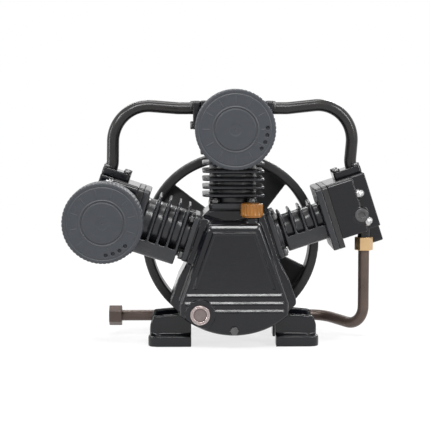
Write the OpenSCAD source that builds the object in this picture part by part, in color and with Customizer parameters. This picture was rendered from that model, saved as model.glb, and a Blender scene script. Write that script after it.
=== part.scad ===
// W-type two-stage air compressor pump, in millimetres.
// X runs to the right, Y to the rear and Z up. The base plane is Z = 0, and the crank turns
// about the Y direction at X = 0. Each cylinder has a frame of its own: x across the cylinder,
// y along the crank and z outwards from the crank axis. The left and centre cylinders are the
// first stage, and the right one is the second stage. At rest the crank pin points straight up.

/* [Crank train] */
// Height of the crank axis above the base plane
crank_h = 185; // [184:1:200]
// Angle of each side cylinder from the vertical one, in degrees
bank_angle = 72; // [72:1:74]
// Throw of the crank pin, half the stroke
crank_r = 30; // [27:0.5:30.5]
// Length of a connecting rod between its two bores
rod_l = 128; // [126:1:136]
// Spacing of the rods, and of the cylinders, along the crank
rod_pitch = 22; // [21.5:0.5:24]
// Thickness of a connecting rod along the crank
rod_t = 20; // [14:1:20.5]
// Radius of the crank pin
crank_pin_r = 14; // [12:0.5:14]
// Radius of a gudgeon pin
gudgeon_r = 8; // [6:0.5:8.5]
// Radius of the round eye of a rod at the gudgeon pin
small_eye_r = 13; // [12.5:0.5:14]
// Radius of the round eye of a rod at the crank pin
big_eye_r = 22; // [20:0.5:22.5]
// Half the width of a rod cap across its two bolts
cap_half_w = 23.5; // [22:0.5:24]
// Radius of a rod bolt
rod_bolt_r = 2.5; // [2:0.25:2.5]
// Half the width of a rod's shank at the gudgeon pin
shank_half_w = 7; // [5:0.5:7.5]
// Radius of the crankshaft in its bearings
journal_r = 17.5; // [16:0.5:19]
// Radius of the shaft's seat for the flywheel
seat_r = 16; // [14:0.5:17]
// Radius of the counterweights
counterweight_r = 60; // [54:1:61]
// Thickness of a crank web
web_t = 15.5; // [12:0.5:17]
// Outer radius of a main bearing
bearing_r = 40; // [34:0.5:42]
// Width of a main bearing
bearing_w = 21; // [16:1:22]

/* [Cylinders] */
// Bore of a first-stage cylinder
lp_bore = 80; // [74:1:81]
// Bore of the second-stage cylinder
hp_bore = 50; // [48:1:52]
// Thickness of a barrel's wall
barrel_wall = 6; // [5:0.5:6.5]
// Width of the square fins of a first-stage cylinder
lp_fin_w = 120; // [110:1:124]
// Width of the square fins of the second-stage cylinder
hp_fin_w = 82; // [76:1:92]
// Thickness of a fin
fin_t = 5; // [3:0.5:6]
// Rounding of a fin's corners
fin_corner = 16; // [8:1:20]
// Spacing of the fins on the left cylinder
left_fin_pitch = 19.5; // [16:0.5:21]
// Spacing of the fins on the centre cylinder
centre_fin_pitch = 15.5; // [12:0.5:17]
// Spacing of the fins on the right cylinder
right_fin_pitch = 21; // [16:0.5:22]
// Distance of the crankcase's cylinder seats from the crank axis
deck_d = 80; // [79.5:0.5:82]
// Width of a cylinder's foot flange across the cylinder
foot_flange_w = 94; // [92:1:96]
// Length of a cylinder's foot flange along the crank
foot_flange_l = 116; // [112:1:118]
// Thickness of a cylinder's foot flange
foot_flange_t = 11; // [8:0.5:12]
// Radius of the spigot by which a cylinder sits in the crankcase
spigot_r = 45; // [44.5:0.5:45.5]
// Depth of that spigot
spigot_l = 9; // [6:0.5:9.5]
// Thickness of a cylinder's head flange
head_flange_t = 13; // [10:0.5:14]
// Height of the plain wall that joins the fins low on a side cylinder
skirt_h = 30; // [20:1:34]
// Distance from the gudgeon pin's axis to the piston's crown
crown_h = 40; // [37:0.5:42]
// Distance from the gudgeon pin's axis to the piston's lower edge
piston_skirt_h = 28; // [24:0.5:28]
// Thickness of a piston's crown
crown_t = 9; // [6:0.5:10]
// Thickness of a piston's skirt
skirt_t = 5.5; // [4:0.5:6]
// Height of a piston ring
ring_h = 2.5; // [2:0.25:3]
// Depth of a ring groove
ring_groove = 3; // [2:0.25:3.5]

/* [Heads] */
// Width of a head
head_w = 128; // [126:1:132]
// Height of a head
head_h = 80; // [76:1:90]
// Height of the shelves that carry the head's nuts
shelf_h = 51.5; // [46:0.5:54]
// Rounding of a head's upright corners
head_corner = 9; // [6:0.5:11]
// Thickness of a head's walls
head_wall = 8; // [6:0.5:9]
// Thickness of a valve plate
valve_plate_t = 8; // [6:0.5:10]
// Thickness of a gasket
gasket_t = 1.2; // [1:0.1:1.6]
// Thickness of a reed
reed_t = 0.8; // [0.6:0.1:0.9]
// Distance of a first-stage head stud from the cylinder's axis, each way
lp_stud_at = 51.5; // [51:0.5:52.5]
// Distance of a second-stage head stud from the axis, across the cylinder
hp_stud_x = 28; // [24:1:29]
// Distance of a second-stage head stud from the axis, along the crank
hp_stud_y = 54; // [53.5:0.25:54.5]
// Half the width of the second-stage head towards its discharge side
hp_low_w = 46; // [45:1:50]
// Radius of the studs
stud_r = 5; // [4:0.5:5.25]
// Width across the flats of the stud nuts
nut_af = 17; // [15:0.5:17.5]
// Height of a plain nut
nut_h = 8; // [6:0.5:9]
// Height of a head's long nut
long_nut_h = 16; // [10:1:20]

/* [Suction filters] */
// Diameter of a filter
filter_d = 150; // [130:2:156]
// Depth of a filter's body
filter_depth = 58; // [50:1:66]
// Distance of a filter's face in front of the cylinder's axis
filter_reach = 170; // [160:1:180]
// Distance of the centre filter's middle from the crank axis
centre_filter_d = 238; // [236:1:242]
// Distance of the left filter's middle from the crank axis
left_filter_d = 254; // [248:1:256]
// How far the left filter's middle lies below its cylinder's axis
left_filter_drop = 12; // [6:1:14]
// Radius of a filter's neck
neck_r = 22; // [18:0.5:23]
// Thickness of the filter's moulded walls
filter_wall = 3; // [2:0.25:4]
// Diameter of an air hole in the filter's face
air_hole_d = 6.5; // [4:0.5:9]

/* [Pipes] */
// Outer diameter of an interstage pipe
pipe_d = 24; // [20:0.5:25]
// Wall thickness of the pipes
pipe_wall = 3; // [2:0.25:4]
// Thickness of a pipe flange
flange_t = 14; // [10:0.5:16]
// Length of a pipe flange along the cylinder's axis
flange_l = 56; // [54:1:57]
// Width of a pipe flange along the crank
flange_w = 60; // [58:1:62]
// Height of a pipe flange's middle above the head's joint face
flange_up = 51.5; // [48:0.5:52]
// How far the pipe lies above the flange's middle
pipe_offset = 13; // [10:0.5:14]
// How far the flanges lie behind the cylinder's axis
flange_back = 12; // [10:0.5:14]
// Radius of a flange bolt
flange_bolt_r = 4; // [3:0.25:4.25]
// Width across the flats of a flange bolt's head
flange_bolt_af = 13; // [10:0.5:13.5]
// Height of the corner of the left interstage pipe
left_corner_h = 470; // [464:1:476]
// Distance of that corner to the left of the crank axis
left_corner_x = 233; // [228:1:240]
// Height of the corner of the right interstage pipe
right_corner_h = 474; // [464:1:480]
// Distance of that corner to the right of the crank axis
right_corner_x = 245; // [238:1:250]
// Radius of the large bend of an interstage pipe
pipe_bend_r = 70; // [55:1:76]
// Outer diameter of the discharge pipe
discharge_d = 22; // [18:0.5:24]
// Width across the flats of the union nuts
union_af = 32; // [30:0.5:36]
// Height of a union nut
union_h = 26; // [18:1:26]
// Height of the discharge pipe's low front corner
discharge_low_h = 26; // [20:1:30]
// Height of the discharge pipe's run behind the crankcase
discharge_run_h = 37; // [34:1:42]
// Distance of that run behind the centre cylinder's axis
discharge_run_y = 82; // [80:1:88]
// Distance of the run's right corner from the crank axis
discharge_corner_x = 188; // [170:1:200]
// Distance of the pipe's left end from the crank axis
discharge_end_x = 246; // [220:1:260]

/* [Crankcase] */
// Radius of the sump's rounded bottom about the crank axis
sump_r = 160; // [154:1:162]
// Half the width of the crankcase at its widest
body_half_w = 122; // [116:1:124]
// Depth below the crank axis at which that width is reached
body_wide_drop = 96; // [90:1:100]
// Distance of the body's front and rear faces from the centre cylinder's axis
body_half_l = 62; // [60:1:64]
// Distance of the nose's front face from the centre cylinder's axis
nose_l = 108; // [104:1:112]
// Half the width of the nose at its top
nose_top_w = 50; // [49:1:56]
// Height of the nose's top above the crank axis
nose_top = 58; // [54:1:60]
// Half the width of the nose at its widest
nose_half_w = 104; // [98:1:108]
// Rounding of the nose's two top corners
nose_round = 12; // [8:1:16]
// Thickness of the crankcase's walls
case_wall = 10; // [8:0.5:11]
// Distance of a foot hole from the crank axis, sideways
foot_x = 148; // [144:1:152]
// Distance of a foot hole from the centre cylinder's axis, along the crank
foot_y = 55; // [52:1:56]
// Radius of a foot hole
foot_hole_r = 6.5; // [5:0.25:7]
// Radius of a foot's round end
foot_r = 18; // [16:0.5:20]
// Thickness of a foot
foot_t = 20; // [14:1:22]
// Height of a foot's web
foot_web_h = 56; // [48:1:60]
// Radius of the sight glass's ring
sight_r = 19.5; // [17:0.5:21]
// Distance of the sight glass to the left of the crank axis
sight_x = 65; // [58:1:68]
// Distance of the sight glass below the crank axis
sight_drop = 116; // [110:1:118]
// Distance of the filler plug to the right of the crank axis
filler_x = 34; // [31:1:36]
// Radius of the filler plug's knob
filler_r = 21.5; // [18:0.5:22]
// Height of the filler plug's knob
filler_h = 26; // [20:1:28]

/* [Rear bearing cover and flywheel] */
// Radius of the rear bearing cover
cover_r = 78; // [76:0.5:79]
// Thickness of the rear bearing cover's flange
cover_t = 11; // [9:0.5:12]
// Number of bolts of the rear bearing cover
cover_bolts = 8; // [6:1:10]
// Outer radius of the flywheel
wheel_r = 182; // [172:1:183]
// Width of the flywheel's rim
wheel_w = 48; // [42:1:52]
// Thickness of the rim
rim_t = 19; // [16:0.5:22]
// Number of V grooves
grooves = 2; // [1:1:2]
// Width of a V groove at the rim's surface
groove_w = 17; // [13:0.5:19]
// Depth of a V groove
groove_depth = 12; // [9:0.5:13]
// Radius of the flywheel's hub
hub_r = 34; // [30:0.5:38]
// Number of spokes
spokes = 4; // [3:1:5]
// Width of a spoke at the hub
spoke_hub_w = 46; // [36:1:50]
// Width of a spoke at the rim
spoke_rim_w = 76; // [60:1:84]
// Thickness of a spoke
spoke_t = 9; // [7:0.5:11]
// Pitch of the fan-like spokes, in degrees
spoke_pitch = 18; // [8:1:20]
// Angle of the first spoke above the X direction, in degrees
spoke_turn = 58; // [40:1:76]

/* [Clearances] */
// Radial clearance of a running or sliding fit
run_fit = 0.05; // [0.03:0.01:0.08]
// Radial clearance of a bolt or a spigot in its hole
bolt_fit = 0.2; // [0.1:0.05:0.3]
// Clearance between a piston's crown at its highest point and the top of its barrel
crown_gap = 2; // [1.5:0.1:3]
// Clearance between turning and still parts
turn_gap = 2.5; // [2:0.1:3]

/* [Hidden] */
$fn = 64;
HEX = 6;
round_steps = 8; // flats that make a rounded shoulder
over = 1; // overrun of a cut
pipe_ease = 0.05; // how much slimmer a straight run is than its bends
LEFT = 0;
CENTRE = 1;
RIGHT = 2;
BANKS = [LEFT, CENTRE, RIGHT];
BOTH = [-1, 1];

bank_degs = [-bank_angle, 0, bank_angle];
stations = [-rod_pitch, 0, rod_pitch];
bores = [lp_bore, lp_bore, hp_bore];
fin_ws = [lp_fin_w, lp_fin_w, hp_fin_w];
fin_pitches = [left_fin_pitch, centre_fin_pitch, right_fin_pitch];

// Levels in a cylinder's frame, outwards from the crank axis
barrel_top = crank_r + rod_l + crown_h + crown_gap;
plate_z = barrel_top + gasket_t;
head_z = plate_z + valve_plate_t + gasket_t;
head_top = head_z + head_h;
shelf_z = head_z + shelf_h;
nut_gap = 2.5; // clearance between the foot studs and the first fin
stud_stick = 2; // how far a stud stands out of its nut
foot_z = deck_d + gasket_t;
foot_nut_z = foot_z + foot_flange_t;
first_fin_z = foot_nut_z + nut_h + stud_stick + nut_gap;
last_fin_z = barrel_top - head_flange_t - fin_t - nut_gap;

// Reach of the crank train
swing_max = asin(crank_r / rod_l);
reach_x = crank_r;
reach_z = crank_r + rod_l - rod_l * cos(swing_max);
swing_room = norm([reach_x, reach_z]) + cap_half_w + turn_gap;
rods_half_l = rod_pitch + rod_t / 2;
web_in = rods_half_l + turn_gap;
web_out = web_in + web_t;
bearing_in = web_out + 2 * turn_gap;
bearing_out = bearing_in + bearing_w;
web_room = counterweight_r + turn_gap;
pin_root_l = turn_gap / 2;

// Crankcase seats
seat_margin = 2;
seat_step = 1; // how far the machined seats stand out of the body
seat_half_w = foot_flange_w / 2 + seat_margin;
seat_half_l = foot_flange_l / 2 + seat_margin;
foot_stud_x = foot_flange_w / 2 - nut_af * 0.65;
foot_stud_y = foot_flange_l / 2 - nut_af * 0.7;
foot_stud_depth = 14;
cover_bolt_l = 12;
rear_y = rod_pitch + seat_half_l + cover_bolt_l + seat_margin;

// Rear cover
cover_y = rear_y + gasket_t;
cover_spigot_r = web_room + case_wall * 0.35;
cover_bolt_at = (cover_spigot_r + cover_r) / 2;
cover_bolt_r = 3;
cover_nose_r = 36;
cover_face_y = cover_y + cover_t;
cover_nose_y = cover_face_y + turn_gap;
seal_r = 27;
seal_w = 9;

// Flywheel
wheel_gap = 7; // clearance between the rear cover's face and the flywheel, for its bolt heads
wheel_y = cover_face_y + wheel_gap + turn_gap;
hub_y = wheel_y - turn_gap;
hub_l = wheel_w - turn_gap;
hub_end_y = hub_y + hub_l;
washer_t = 5;
washer_r = 25;
end_bolt_r = 6;
end_bolt_l = 32;
end_bolt_af = 19;
key_w = 10;
key_h = 8;
key_l = 32;

// Heads and pipes
flange_z = head_z + flange_up;
pipe_z = flange_z + pipe_offset;
pipe_r = pipe_d / 2;
flange_bolt_dz = flange_l / 2 - flange_bolt_af * 0.6;
flange_bolt_dy = flange_w / 2 - flange_bolt_af * 0.65;
flange_bolt_grip = 14;
flange_corner = 6;
chamber_z = head_top - head_wall;
chamber_mid_wall = 7;
port_r = pipe_r - pipe_wall;
shelf_cut = nut_af / 2 / cos(30) + seat_margin;
discharge_r = discharge_d / 2;
discharge_back = -22; // the discharge port lies in front of the right cylinder's axis
discharge_port_z = head_z + shelf_h * 0.9;
elbow_r = 13;
elbow_drop = 5;
elbow_step = 0.6;

// Filters
filter_r = filter_d / 2;
filter_base_l = 8;
filter_back_y = -filter_reach + filter_depth;
neck_in = head_wall; // how far a neck reaches into its head

function bank_x(i, across, out) = out * sin(bank_degs[i]) + across * cos(bank_degs[i]);
function bank_z(i, across, out) = out * cos(bank_degs[i]) - across * sin(bank_degs[i]);
function seat_corner(i, side) = [
    bank_x(i, side * (seat_half_w - seat_step), deck_d - seat_step),
    bank_z(i, side * (seat_half_w - seat_step), deck_d - seat_step)
];
function bank_point(i, across, along, out) = [
    bank_x(i, across, out),
    stations[i] + along,
    crank_h + bank_z(i, across, out)
];
function pin_out(i) =
    crank_r * cos(bank_degs[i]) + sqrt(pow(rod_l, 2) - pow(crank_r * sin(bank_degs[i]), 2));
function rod_swing(i) = asin(crank_r * sin(bank_degs[i]) / rod_l);
function unit(v) = v / norm(v);
function hex_r(af) = af / 2 / cos(30);

module up(z) {
    translate([0, 0, z]) children();
}

// Places its children in the frame of one cylinder
module in_bank(i) {
    translate([0, stations[i], crank_h]) rotate([0, bank_degs[i], 0]) children();
}

// Places its children about the crank axis
module at_crank() {
    up(crank_h) children();
}

// Extrudes an outline drawn in X and Z from y0 to y1
module along_y(y0, y1) {
    translate([0, y1, 0]) rotate([90, 0, 0]) linear_extrude(y1 - y0) children();
}

module y_rod(r, y0, y1) {
    translate([0, y1, 0]) rotate([90, 0, 0]) cylinder(r = r, h = y1 - y0);
}

module x_rod(r, x0, x1) {
    translate([x0, 0, 0]) rotate([0, 90, 0]) cylinder(r = r, h = x1 - x0);
}

// A rod along x, on the side of the sign given, between two distances from the origin
module side_rod(r, side, near, far) {
    x_rod(r, side > 0 ? near : -far, side > 0 ? far : -near);
}

module round_rect(w, l, r) {
    square([w - 2 * r, l], center = true);
    square([w, l - 2 * r], center = true);
    for (x = BOTH, y = BOTH) translate([x * (w / 2 - r), y * (l / 2 - r)]) circle(r = r);
}

module slab(w, l, t, r) {
    linear_extrude(t) round_rect(w, l, r);
}

module hexagon(af, h) {
    cylinder(r = hex_r(af), h = h, $fn = HEX);
}

// Places its children at the four corners of a rectangle
module corners(x, y) {
    for (sx = BOTH, sy = BOTH) translate([sx * x, sy * y, 0]) children();
}

// A stud with its nut: the stud runs from z0 to the nut at z1 and out of it
module nutted_stud(z0, z1, nut_height) {
    up(z0) cylinder(r = stud_r, h = z1 + nut_height + stud_stick - z0);
    up(z1) hexagon(nut_af, nut_height);
}

// A stud with a domed nut, which covers the stud's end
module domed_nut(z0, z1) {
    dome_r = nut_af * 0.45;
    up(z0) cylinder(r = stud_r, h = z1 - z0 + over);
    up(z1) hexagon(nut_af, long_nut_h - dome_r);
    up(z1 + long_nut_h - dome_r) intersection() {
        sphere(r = dome_r);
        up(-over) cylinder(r = nut_af, h = nut_af);
    }
}

// A bolt that points down, with the underside of its head at z = 0
module bolt(r, af, head_h, length) {
    up(-length) cylinder(r = r, h = length);
    hexagon(af, head_h);
}

// One straight piece of a pipe from a to b
module pipe_run(a, b, r, bore_r) { // slightly slimmer than the bends, which it reaches into
    w = unit(b - a);
    side = abs(w[1]) < 0.9 ? [0, 1, 0] : [1, 0, 0];
    u = unit(cross(side, w));
    v = cross(w, u);
    multmatrix([
        [u[0], v[0], w[0], a[0]],
        [u[1], v[1], w[1], a[1]],
        [u[2], v[2], w[2], a[2]]
    ]) linear_extrude(norm(b - a)) pipe_section(r - pipe_ease, bore_r + pipe_ease);
}

module pipe_section(r, bore_r) {
    difference() {
        circle(r = r);
        circle(r = bore_r);
    }
}

function turn_at(p, k) = acos(unit(p[k] - p[k - 1]) * unit(p[k + 1] - p[k]));
function cut_at(p, radii, k) =
    k == 0 || k == len(p) - 1 ? 0 : radii[k] * tan(turn_at(p, k) / 2);

// One bend of a pipe at corner k of its route
module pipe_bend(p, radii, k, r, bore_r) {
    t = unit(p[k] - p[k - 1]);
    out = unit(p[k + 1] - p[k]);
    inward = unit(out - t);
    middle = p[k] + inward * radii[k] / cos(turn_at(p, k) / 2);
    start = p[k] - t * cut_at(p, radii, k);
    n = unit(start - middle);
    w = cross(n, t);
    multmatrix([
        [n[0], t[0], w[0], middle[0]],
        [n[1], t[1], w[1], middle[1]],
        [n[2], t[2], w[2], middle[2]]
    ]) rotate_extrude(angle = turn_at(p, k)) translate([radii[k], 0]) pipe_section(r, bore_r);
}

// A bent pipe through the points p, with the bend radius radii[k] at point k
module bent_pipe(p, radii, r, bore_r) {
    last = len(p) - 1;
    for (k = [0 : last - 1]) {
        w = unit(p[k + 1] - p[k]);
        pipe_run(
            p[k] + w * (cut_at(p, radii, k) - (k > 0 ? over : 0)),
            p[k + 1] - w * (cut_at(p, radii, k + 1) - (k + 1 < last ? over : 0)),
            r, bore_r
        );
    }
    for (k = [1 : last - 1]) pipe_bend(p, radii, k, r, bore_r);
}

// Crankcase

flank_shares = [0.88, 0.56]; // a point of the flank, as shares of the width and its depth
flank = [body_half_w * flank_shares[0], -body_wide_drop * flank_shares[1]];
body_points = [
    seat_corner(LEFT, -1), seat_corner(LEFT, 1),
    seat_corner(CENTRE, -1), seat_corner(CENTRE, 1),
    seat_corner(RIGHT, -1), seat_corner(RIGHT, 1),
    flank, [body_half_w, -body_wide_drop], [body_half_w, -sump_r],
    [-body_half_w, -sump_r], [-body_half_w, -body_wide_drop], [-flank[0], flank[1]]
];

// The bell outline of the body about the crank axis, cut by the round bottom of the sump
module body_outline(inset = 0) {
    intersection() {
        circle(r = sump_r - inset);
        translate([inset, 0]) polygon(body_points);
        translate([-inset, 0]) polygon(body_points);
    }
}

// The bell outline of the nose about the crank axis, with rounded top corners
module nose_outline(inset = 0) {
    top = nose_top - inset;
    half_top = nose_top_w - inset;
    half_low = nose_half_w - inset;
    lean = atan2(half_low - half_top, top + body_wide_drop);
    r = nose_round;
    mid_x = half_top - r / tan((90 + lean) / 2);
    shoulder = [for (k = [0 : round_steps]) let (a = k * (90 - lean) / round_steps)
        [mid_x + r * sin(a), top - r + r * cos(a)]];
    half = concat(shoulder, [[half_low, -body_wide_drop], [half_low, -sump_r]]);
    intersection() {
        circle(r = sump_r - seat_margin - inset);
        union() {
            polygon(concat([[-r, top]], half, [[-r, -sump_r]]));
            mirror([1, 0]) polygon(concat([[-r, top]], half, [[-r, -sump_r]]));
        }
    }
}

panel_top = 42;
panel_low = -68;
panel_top_w = 41;
panel_low_w = 80;
panel_t = 3;
panel_border = 5;
field_depth = 1.4; // how deep the panel's field lies within its border
rib_h = 3;
rib_step = 15.2;
rib_top = -79.5;
rib_w = 92;
rib_grow = 4;
foot_root = 15; // how far a foot's web reaches up into the sump
filler_boss_r = 14;
filler_boss_h = 11;
filler_hole_r = 11;
filler_shank_l = 18;
filler_y = -(body_half_l + nose_l) / 2;
sight_boss_r = 30;
sight_boss_t = panel_t + 0.5;
sight_y = -nose_l - sight_boss_t; // the face on which the sight glass seats
sight_thread_r = 14;
drain_r = 6;
drain_drop = sump_r - case_wall - drain_r / 2;

module panel_outline(inset = 0) {
    polygon([
        [-panel_top_w + inset, panel_top - inset], [panel_top_w - inset, panel_top - inset],
        [panel_low_w - inset * 1.5, panel_low + inset], [-panel_low_w + inset * 1.5, panel_low + inset]
    ]);
}

// The raised trapezoid panel on the nose with its sunk field, the level ribs below it, and the
// round boss of the sight glass, where the two lower ribs stop
module nose_relief() {
    difference() {
        along_y(-nose_l - panel_t, -nose_l) panel_outline();
        along_y(-nose_l - panel_t - over, -nose_l - panel_t + field_depth) panel_outline(panel_border);
    }
    for (k = [0, 1]) along_y(-nose_l - panel_t, -nose_l)
        translate([0, rib_top - k * rib_step])
            square([2 * (rib_w + k * rib_grow), rib_h], center = true);
    short_x = -sight_x + sight_boss_r - rib_h;
    along_y(-nose_l - panel_t, -nose_l)
        translate([short_x, rib_top - 2 * rib_step - rib_h / 2])
            square([rib_w + rib_grow - short_x, rib_h]);
    along_y(sight_y, -nose_l) intersection() {
        nose_outline(rib_h);
        translate([-sight_x, -sight_drop]) circle(r = sight_boss_r);
    }
}

// One foot at the right front, with its upright web that runs up into the sump's round bottom;
// mirrored for the others
module foot() {
    inner_x = body_half_w - foot_t * 2;
    root_z = crank_h - sqrt(pow(sump_r, 2) - pow(inner_x, 2)) + foot_root;
    web_in_y = foot_y - foot_r;
    linear_extrude(foot_t) union() {
        translate([foot_x, foot_y]) circle(r = foot_r);
        translate([inner_x, foot_y - foot_r]) square([foot_x - inner_x, 2 * foot_r]);
    }
    along_y(web_in_y, web_in_y + case_wall) polygon([
        [inner_x, 0], [foot_x + foot_r * 0.8, 0],
        [foot_x + foot_r * 0.8, foot_web_h * 0.7],
        [foot_x + foot_r * 0.45, foot_web_h],
        [inner_x, root_z]
    ]);
}

// The block under a cylinder's foot flange, or the room above it, wider by the margin given
module seat_block(margin, h) {
    slab(2 * (seat_half_w + margin), 2 * (seat_half_l + margin), h, head_corner);
}

module case_solid() {
    at_crank() {
        along_y(-body_half_l, body_half_l) body_outline();
        along_y(-nose_l, over - body_half_l) nose_outline();
        nose_relief();
    }
    difference() {
        at_crank() y_rod(cover_r, body_half_l - over, rear_y);
        for (i = BANKS) in_bank(i) up(deck_d - seat_step) seat_block(seat_margin, deck_d);
    }
    for (i = BANKS) in_bank(i) up(deck_d / 2) seat_block(0, deck_d / 2);
    translate([filler_x, filler_y, crank_h + nose_top - over])
        cylinder(r = filler_boss_r, h = filler_boss_h + over);
    for (sx = BOTH, sy = BOTH) mirror([sx < 0 ? 1 : 0, 0, 0]) mirror([0, sy < 0 ? 1 : 0, 0]) foot();
}

// The room inside: crank chamber, sump, and the hollow of the nose in front of the bearing wall
module case_room() {
    nose_room_y = -(bearing_out + case_wall * 0.6);
    at_crank() {
        y_rod(swing_room, -web_in, web_in);
        y_rod(web_room, -bearing_in, 0);
        y_rod(cover_spigot_r, 0, rear_y + over);
        y_rod(bearing_r, -bearing_out, 0);
        along_y(-nose_l + case_wall, nose_room_y) nose_outline(case_wall);
        along_y(nose_room_y - over, -body_half_l + case_wall + over) intersection() {
            nose_outline(case_wall);
            translate([0, -sump_r - web_room]) square(2 * sump_r, center = true);
        }
        along_y(-body_half_l + case_wall, body_half_l - case_wall) intersection() {
            body_outline(case_wall);
            translate([0, -sump_r - web_room + case_wall]) square(2 * sump_r, center = true);
        }
    }
}

module crankcase() {
    color([0.07, 0.07, 0.08]) difference() {
        case_solid();
        case_room();
        for (i = BANKS) in_bank(i) {
            up(deck_d / 2) cylinder(r = spigot_r + bolt_fit, h = deck_d);
            up(deck_d - foot_stud_depth) corners(foot_stud_x, foot_stud_y)
                cylinder(r = stud_r, h = foot_stud_depth + over);
        }
        translate([filler_x, filler_y, crank_h + nose_top - case_wall - over])
            cylinder(r = filler_hole_r, h = case_wall + filler_boss_h + 3 * over);
        at_crank() {
            translate([-sight_x, 0, -sight_drop])
                y_rod(sight_thread_r, -nose_l * 2, -nose_l + case_wall + over);
            translate([0, 0, -drain_drop]) y_rod(drain_r, -nose_l * 2, -nose_l + case_wall + over);
            at_cover_bolts() y_rod(cover_bolt_r, rear_y - cover_bolt_l, rear_y + over);
        }
        for (sx = BOTH, sy = BOTH) translate([sx * foot_x, sy * foot_y, -over])
            cylinder(r = foot_hole_r, h = foot_web_h * 2);
    }
}

module filler_plug() {
    flutes = 24;
    flute_r = 1.6;
    translate([filler_x, filler_y, crank_h + nose_top + filler_boss_h]) color([0.93, 0.62, 0.16]) {
        difference() {
            cylinder(r = filler_r, h = filler_h);
            for (k = [0 : flutes - 1]) rotate(k * 360 / flutes)
                translate([filler_r + flute_r / 2, 0, -over]) cylinder(r = flute_r, h = filler_h * 2);
        }
        up(-filler_shank_l) cylinder(r = filler_hole_r - run_fit, h = filler_shank_l + over);
    }
}

glass_r = 12;
glass_lip = 2.5;

module sight_glass_ring() {
    head_t = 6;
    color([0.8, 0.8, 0.78]) at_crank() translate([-sight_x, 0, -sight_drop]) difference() {
        union() {
            y_rod(sight_r, sight_y - head_t, sight_y);
            y_rod(sight_thread_r, sight_y - over, -nose_l + case_wall);
        }
        y_rod(glass_r, sight_y - head_t - over, sight_y + over);
        y_rod(glass_r - glass_lip, -nose_l * 2, 0);
    }
}

module sight_glass_lens() {
    glass_t = 5;
    color([0.85, 0.8, 0.76]) at_crank() translate([-sight_x, 0, -sight_drop])
        y_rod(glass_r, sight_y - glass_t, sight_y + over);
}

module drain_plug() {
    head_t = 7;
    drain_af = 14;
    color([0.5, 0.5, 0.5]) at_crank() translate([0, 0, -drain_drop]) {
        y_rod(drain_r, -nose_l - over, -nose_l + case_wall);
        translate([0, -nose_l, 0]) rotate([90, 0, 0]) hexagon(drain_af, head_t);
    }
}

module rear_cover_gasket() {
    color([0.35, 0.3, 0.25]) at_crank() difference() {
        y_rod(cover_r, rear_y, cover_y);
        y_rod(cover_spigot_r, rear_y - over, cover_y + over);
        cover_bolt_holes(cover_bolt_r + bolt_fit);
    }
}

// Places its children at each bolt of the rear cover, about the crank axis
module at_cover_bolts() {
    for (k = [0 : cover_bolts - 1]) rotate([0, (k + 0.5) * 360 / cover_bolts, 0])
        translate([cover_bolt_at, 0, 0]) children();
}

module cover_bolt_holes(r) {
    at_cover_bolts() y_rod(r, rear_y - cover_bolt_l, cover_face_y + over);
}

module rear_bearing_cover() {
    color([0.07, 0.07, 0.08]) at_crank() difference() {
        union() {
            y_rod(cover_r, cover_y, cover_face_y);
            y_rod(cover_spigot_r - bolt_fit, bearing_in, cover_y + over);
            y_rod(cover_nose_r, cover_y, cover_nose_y);
        }
        y_rod(bearing_r, bearing_in - over, bearing_out);
        y_rod(seal_r, cover_nose_y - seal_w, cover_nose_y + over);
        y_rod(journal_r + turn_gap / 2, 0, cover_nose_y + over);
        cover_bolt_holes(cover_bolt_r + bolt_fit);
        // hollow of the deep spigot around the bearing's seat
        difference() {
            y_rod(cover_spigot_r - case_wall * 0.7, bearing_in - over, bearing_out);
            y_rod(bearing_r + case_wall * 0.7, 0, cover_y);
        }
    }
}

module rear_cover_bolts() {
    cover_bolt_af = 10;
    cover_bolt_head = 4;
    shank = cover_bolt_l + gasket_t + cover_t - over;
    color([0.3, 0.3, 0.32]) at_crank() at_cover_bolts()
        translate([0, cover_face_y, 0]) rotate([-90, 0, 0])
            bolt(cover_bolt_r, cover_bolt_af, cover_bolt_head, shank);
}

module bearing(y) {
    race_t = bearing_r * 0.14;
    groove = bearing_w * 0.12;
    difference() {
        y_rod(bearing_r, y, y + bearing_w);
        y_rod(journal_r + run_fit, y - over, y + bearing_w + over);
        for (face = [y - over, y + bearing_w - groove]) difference() {
            y_rod(bearing_r - race_t, face, face + groove + over);
            y_rod(journal_r + race_t, face - over, face + groove + 2 * over);
        }
    }
}

module main_bearings() {
    color([0.7, 0.7, 0.72]) at_crank() {
        bearing(-bearing_out);
        bearing(bearing_in);
    }
}

module oil_seal() {
    color([0.15, 0.1, 0.1]) at_crank() difference() {
        y_rod(seal_r, cover_nose_y - seal_w, cover_nose_y);
        y_rod(journal_r + run_fit, cover_nose_y - seal_w - over, cover_nose_y + over);
    }
}

// Cylinders

// The square outline of a cylinder's fins
module fin_outline(i) {
    round_rect(fin_ws[i], fin_ws[i], fin_corner);
}

// The barrel of a cylinder with its two flanges and its fins
module barrel(i) {
    wall_r = bores[i] / 2 + barrel_wall;
    fins = floor((last_fin_z - first_fin_z) / fin_pitches[i]);
    up(deck_d - spigot_l) cylinder(r = spigot_r, h = spigot_l + gasket_t + over);
    up(foot_z) slab(foot_flange_w, foot_flange_l, foot_flange_t, head_corner);
    up(foot_z) cylinder(r = wall_r, h = barrel_top - foot_z);
    for (k = [0 : fins]) up(first_fin_z + k * fin_pitches[i])
        linear_extrude(fin_t) fin_outline(i);
    up(barrel_top - head_flange_t) slab(head_w, head_w, head_flange_t, head_corner);
}

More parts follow.
